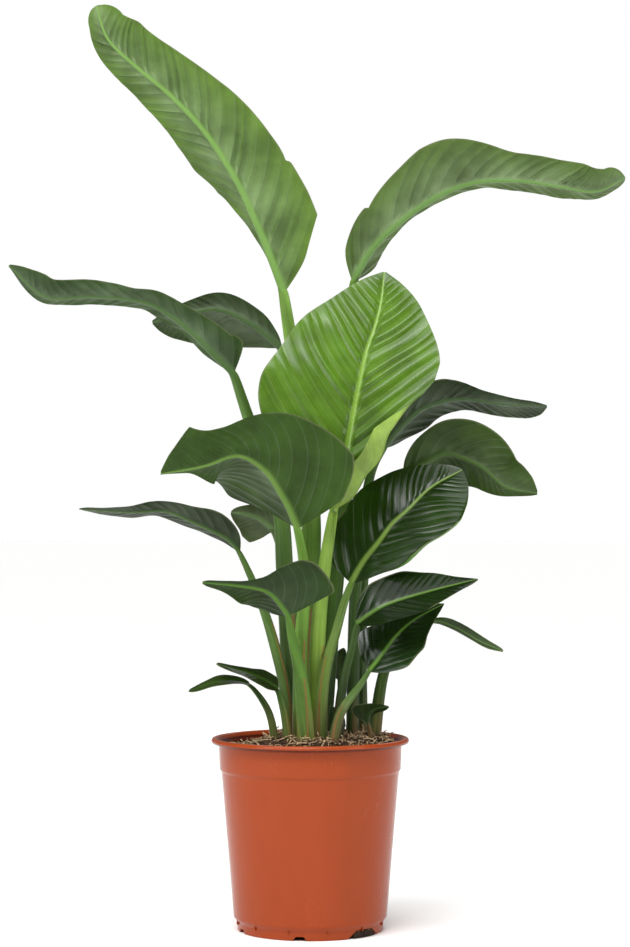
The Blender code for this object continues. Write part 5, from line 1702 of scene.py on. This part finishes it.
class PLANT_OT_studio(bpy.types.Operator):
    """Sets the pale floor, the soft lights and the camera"""

    bl_idname = "plant.studio"
    bl_label = "Studio"

    def execute(self, context):
        settings = context.scene.studio_settings
        scene = context.scene
        mesh = bpy.data.meshes.new("studio_floor")
        half = 40.0
        corners = [(-half, -half, 0), (half, -half, 0), (half, half, 0), (-half, half, 0)]
        mesh.from_pydata(corners, [], [(0, 1, 2, 3)])
        mesh.materials.append(painted_floor("painted_board_matt_white", tuple(settings.floor_colour)))
        ground = bpy.data.objects.new("studio_floor", mesh)
        scene.collection.objects.link(ground)

        world = bpy.data.worlds.new("studio_world")
        world.use_nodes = True
        tree = world.node_tree
        tree.nodes.clear()
        seen = add(tree, "ShaderNodeLightPath").outputs["Is Camera Ray"]
        # The room is dark behind the viewer, and pale at the sides, behind and above.
        way = add(tree, "ShaderNodeTexCoord").outputs["Generated"]
        apart = add(tree, "ShaderNodeSeparateXYZ", (way,)).outputs
        ahead = add(tree, "ShaderNodeMapRange", (apart["Y"], -0.95, -0.80, 0.05, settings.room))
        overhead = add(tree, "ShaderNodeMapRange", (apart["Z"], 0.1, 0.8, 1.0, 0.35))
        strength = add(tree, "ShaderNodeMath", (ahead, overhead), operation="MULTIPLY")
        room = add(tree, "ShaderNodeBackground", {"Color": (1, 1, 1, 1), "Strength": strength})
        white = add(tree, "ShaderNodeBackground", {"Color": (1, 1, 1, 1), "Strength": 1.0})
        mixed = add(tree, "ShaderNodeMixShader", (seen, room, white))
        add(tree, "ShaderNodeOutputWorld", (mixed,))
        scene.world = world

        sun = bpy.data.lights.new("sky_light", "SUN")
        sun.energy = settings.sun
        sun.angle = math.radians(70)
        obj = bpy.data.objects.new("sky_light", sun)
        obj.rotation_euler = (math.radians(18), math.radians(-10), 0)
        scene.collection.objects.link(obj)
        middle = (0, 0, 0.5)
        area_light("left_softbox", (-2.1, -1.5, 1.1), middle, (0.5, 2.0), 24)
        area_light("right_softbox", (2.2, -1.3, 1.2), middle, (0.4, 2.0), 22)
        area_light("top_softbox", (-0.5, -1.5, 2.3), middle, (1.6, 0.5), 26)
        area_light("back_softbox", (0.4, 2.4, 2.0), middle, (1.8, 1.0), 12)

        camera = bpy.data.cameras.new("studio_camera")
        camera.lens = 90
        camera.sensor_width = 36
        view = bpy.data.objects.new("studio_camera", camera)
        view.location = (0.005, -2.51, 0.434)
        view.rotation_euler = (math.radians(91.07), 0, 0)
        scene.collection.objects.link(view)
        scene.camera = view
        scene.view_settings.view_transform = "Standard"
        return {"FINISHED"}


# ---------------------------------------------------------------- the add-on
OPERATORS = (
    PLANT_OT_pot,
    PLANT_OT_foot_ticks,
    PLANT_OT_soil,
    PLANT_OT_soil_litter,
    PLANT_OT_roots,
    PLANT_OT_blades,
    PLANT_OT_stalks,
    PLANT_OT_studio,
)
SETTINGS = {
    "pot_settings": PotSettings,
    "plant_settings": PlantSettings,
    "soil_settings": SoilSettings,
    "studio_settings": StudioSettings,
}


class PLANT_PT_panel(bpy.types.Panel):
    """The plant's sizes, and a button for each piece"""

    bl_idname = "PLANT_PT_panel"
    bl_label = "Potted bird of paradise"
    bl_space_type = "VIEW_3D"
    bl_region_type = "UI"
    bl_category = "Plant"

    def draw(self, context):
        for name in SETTINGS:
            box = self.layout.box()
            settings = getattr(context.scene, name)
            for item in settings.bl_rna.properties:
                if item.identifier not in ("rna_type", "name"):
                    box.prop(settings, item.identifier)
        for operator in OPERATORS:
            self.layout.operator(operator.bl_idname)


def register():
    for name, group in SETTINGS.items():
        bpy.utils.register_class(group)
        setattr(bpy.types.Scene, name, PointerProperty(type=group))
    for operator in OPERATORS:
        bpy.utils.register_class(operator)
    bpy.utils.register_class(PLANT_PT_panel)


def unregister():
    bpy.utils.unregister_class(PLANT_PT_panel)
    for operator in reversed(OPERATORS):
        bpy.utils.unregister_class(operator)
    for name, group in reversed(SETTINGS.items()):
        delattr(bpy.types.Scene, name)
        bpy.utils.unregister_class(group)


def main():
    register()
    for step in ("pot", "foot_ticks", "soil", "soil_litter", "roots", "blades", "stalks", "studio"):
        getattr(bpy.ops.plant, step)()


if __name__ == "__main__":
    main()
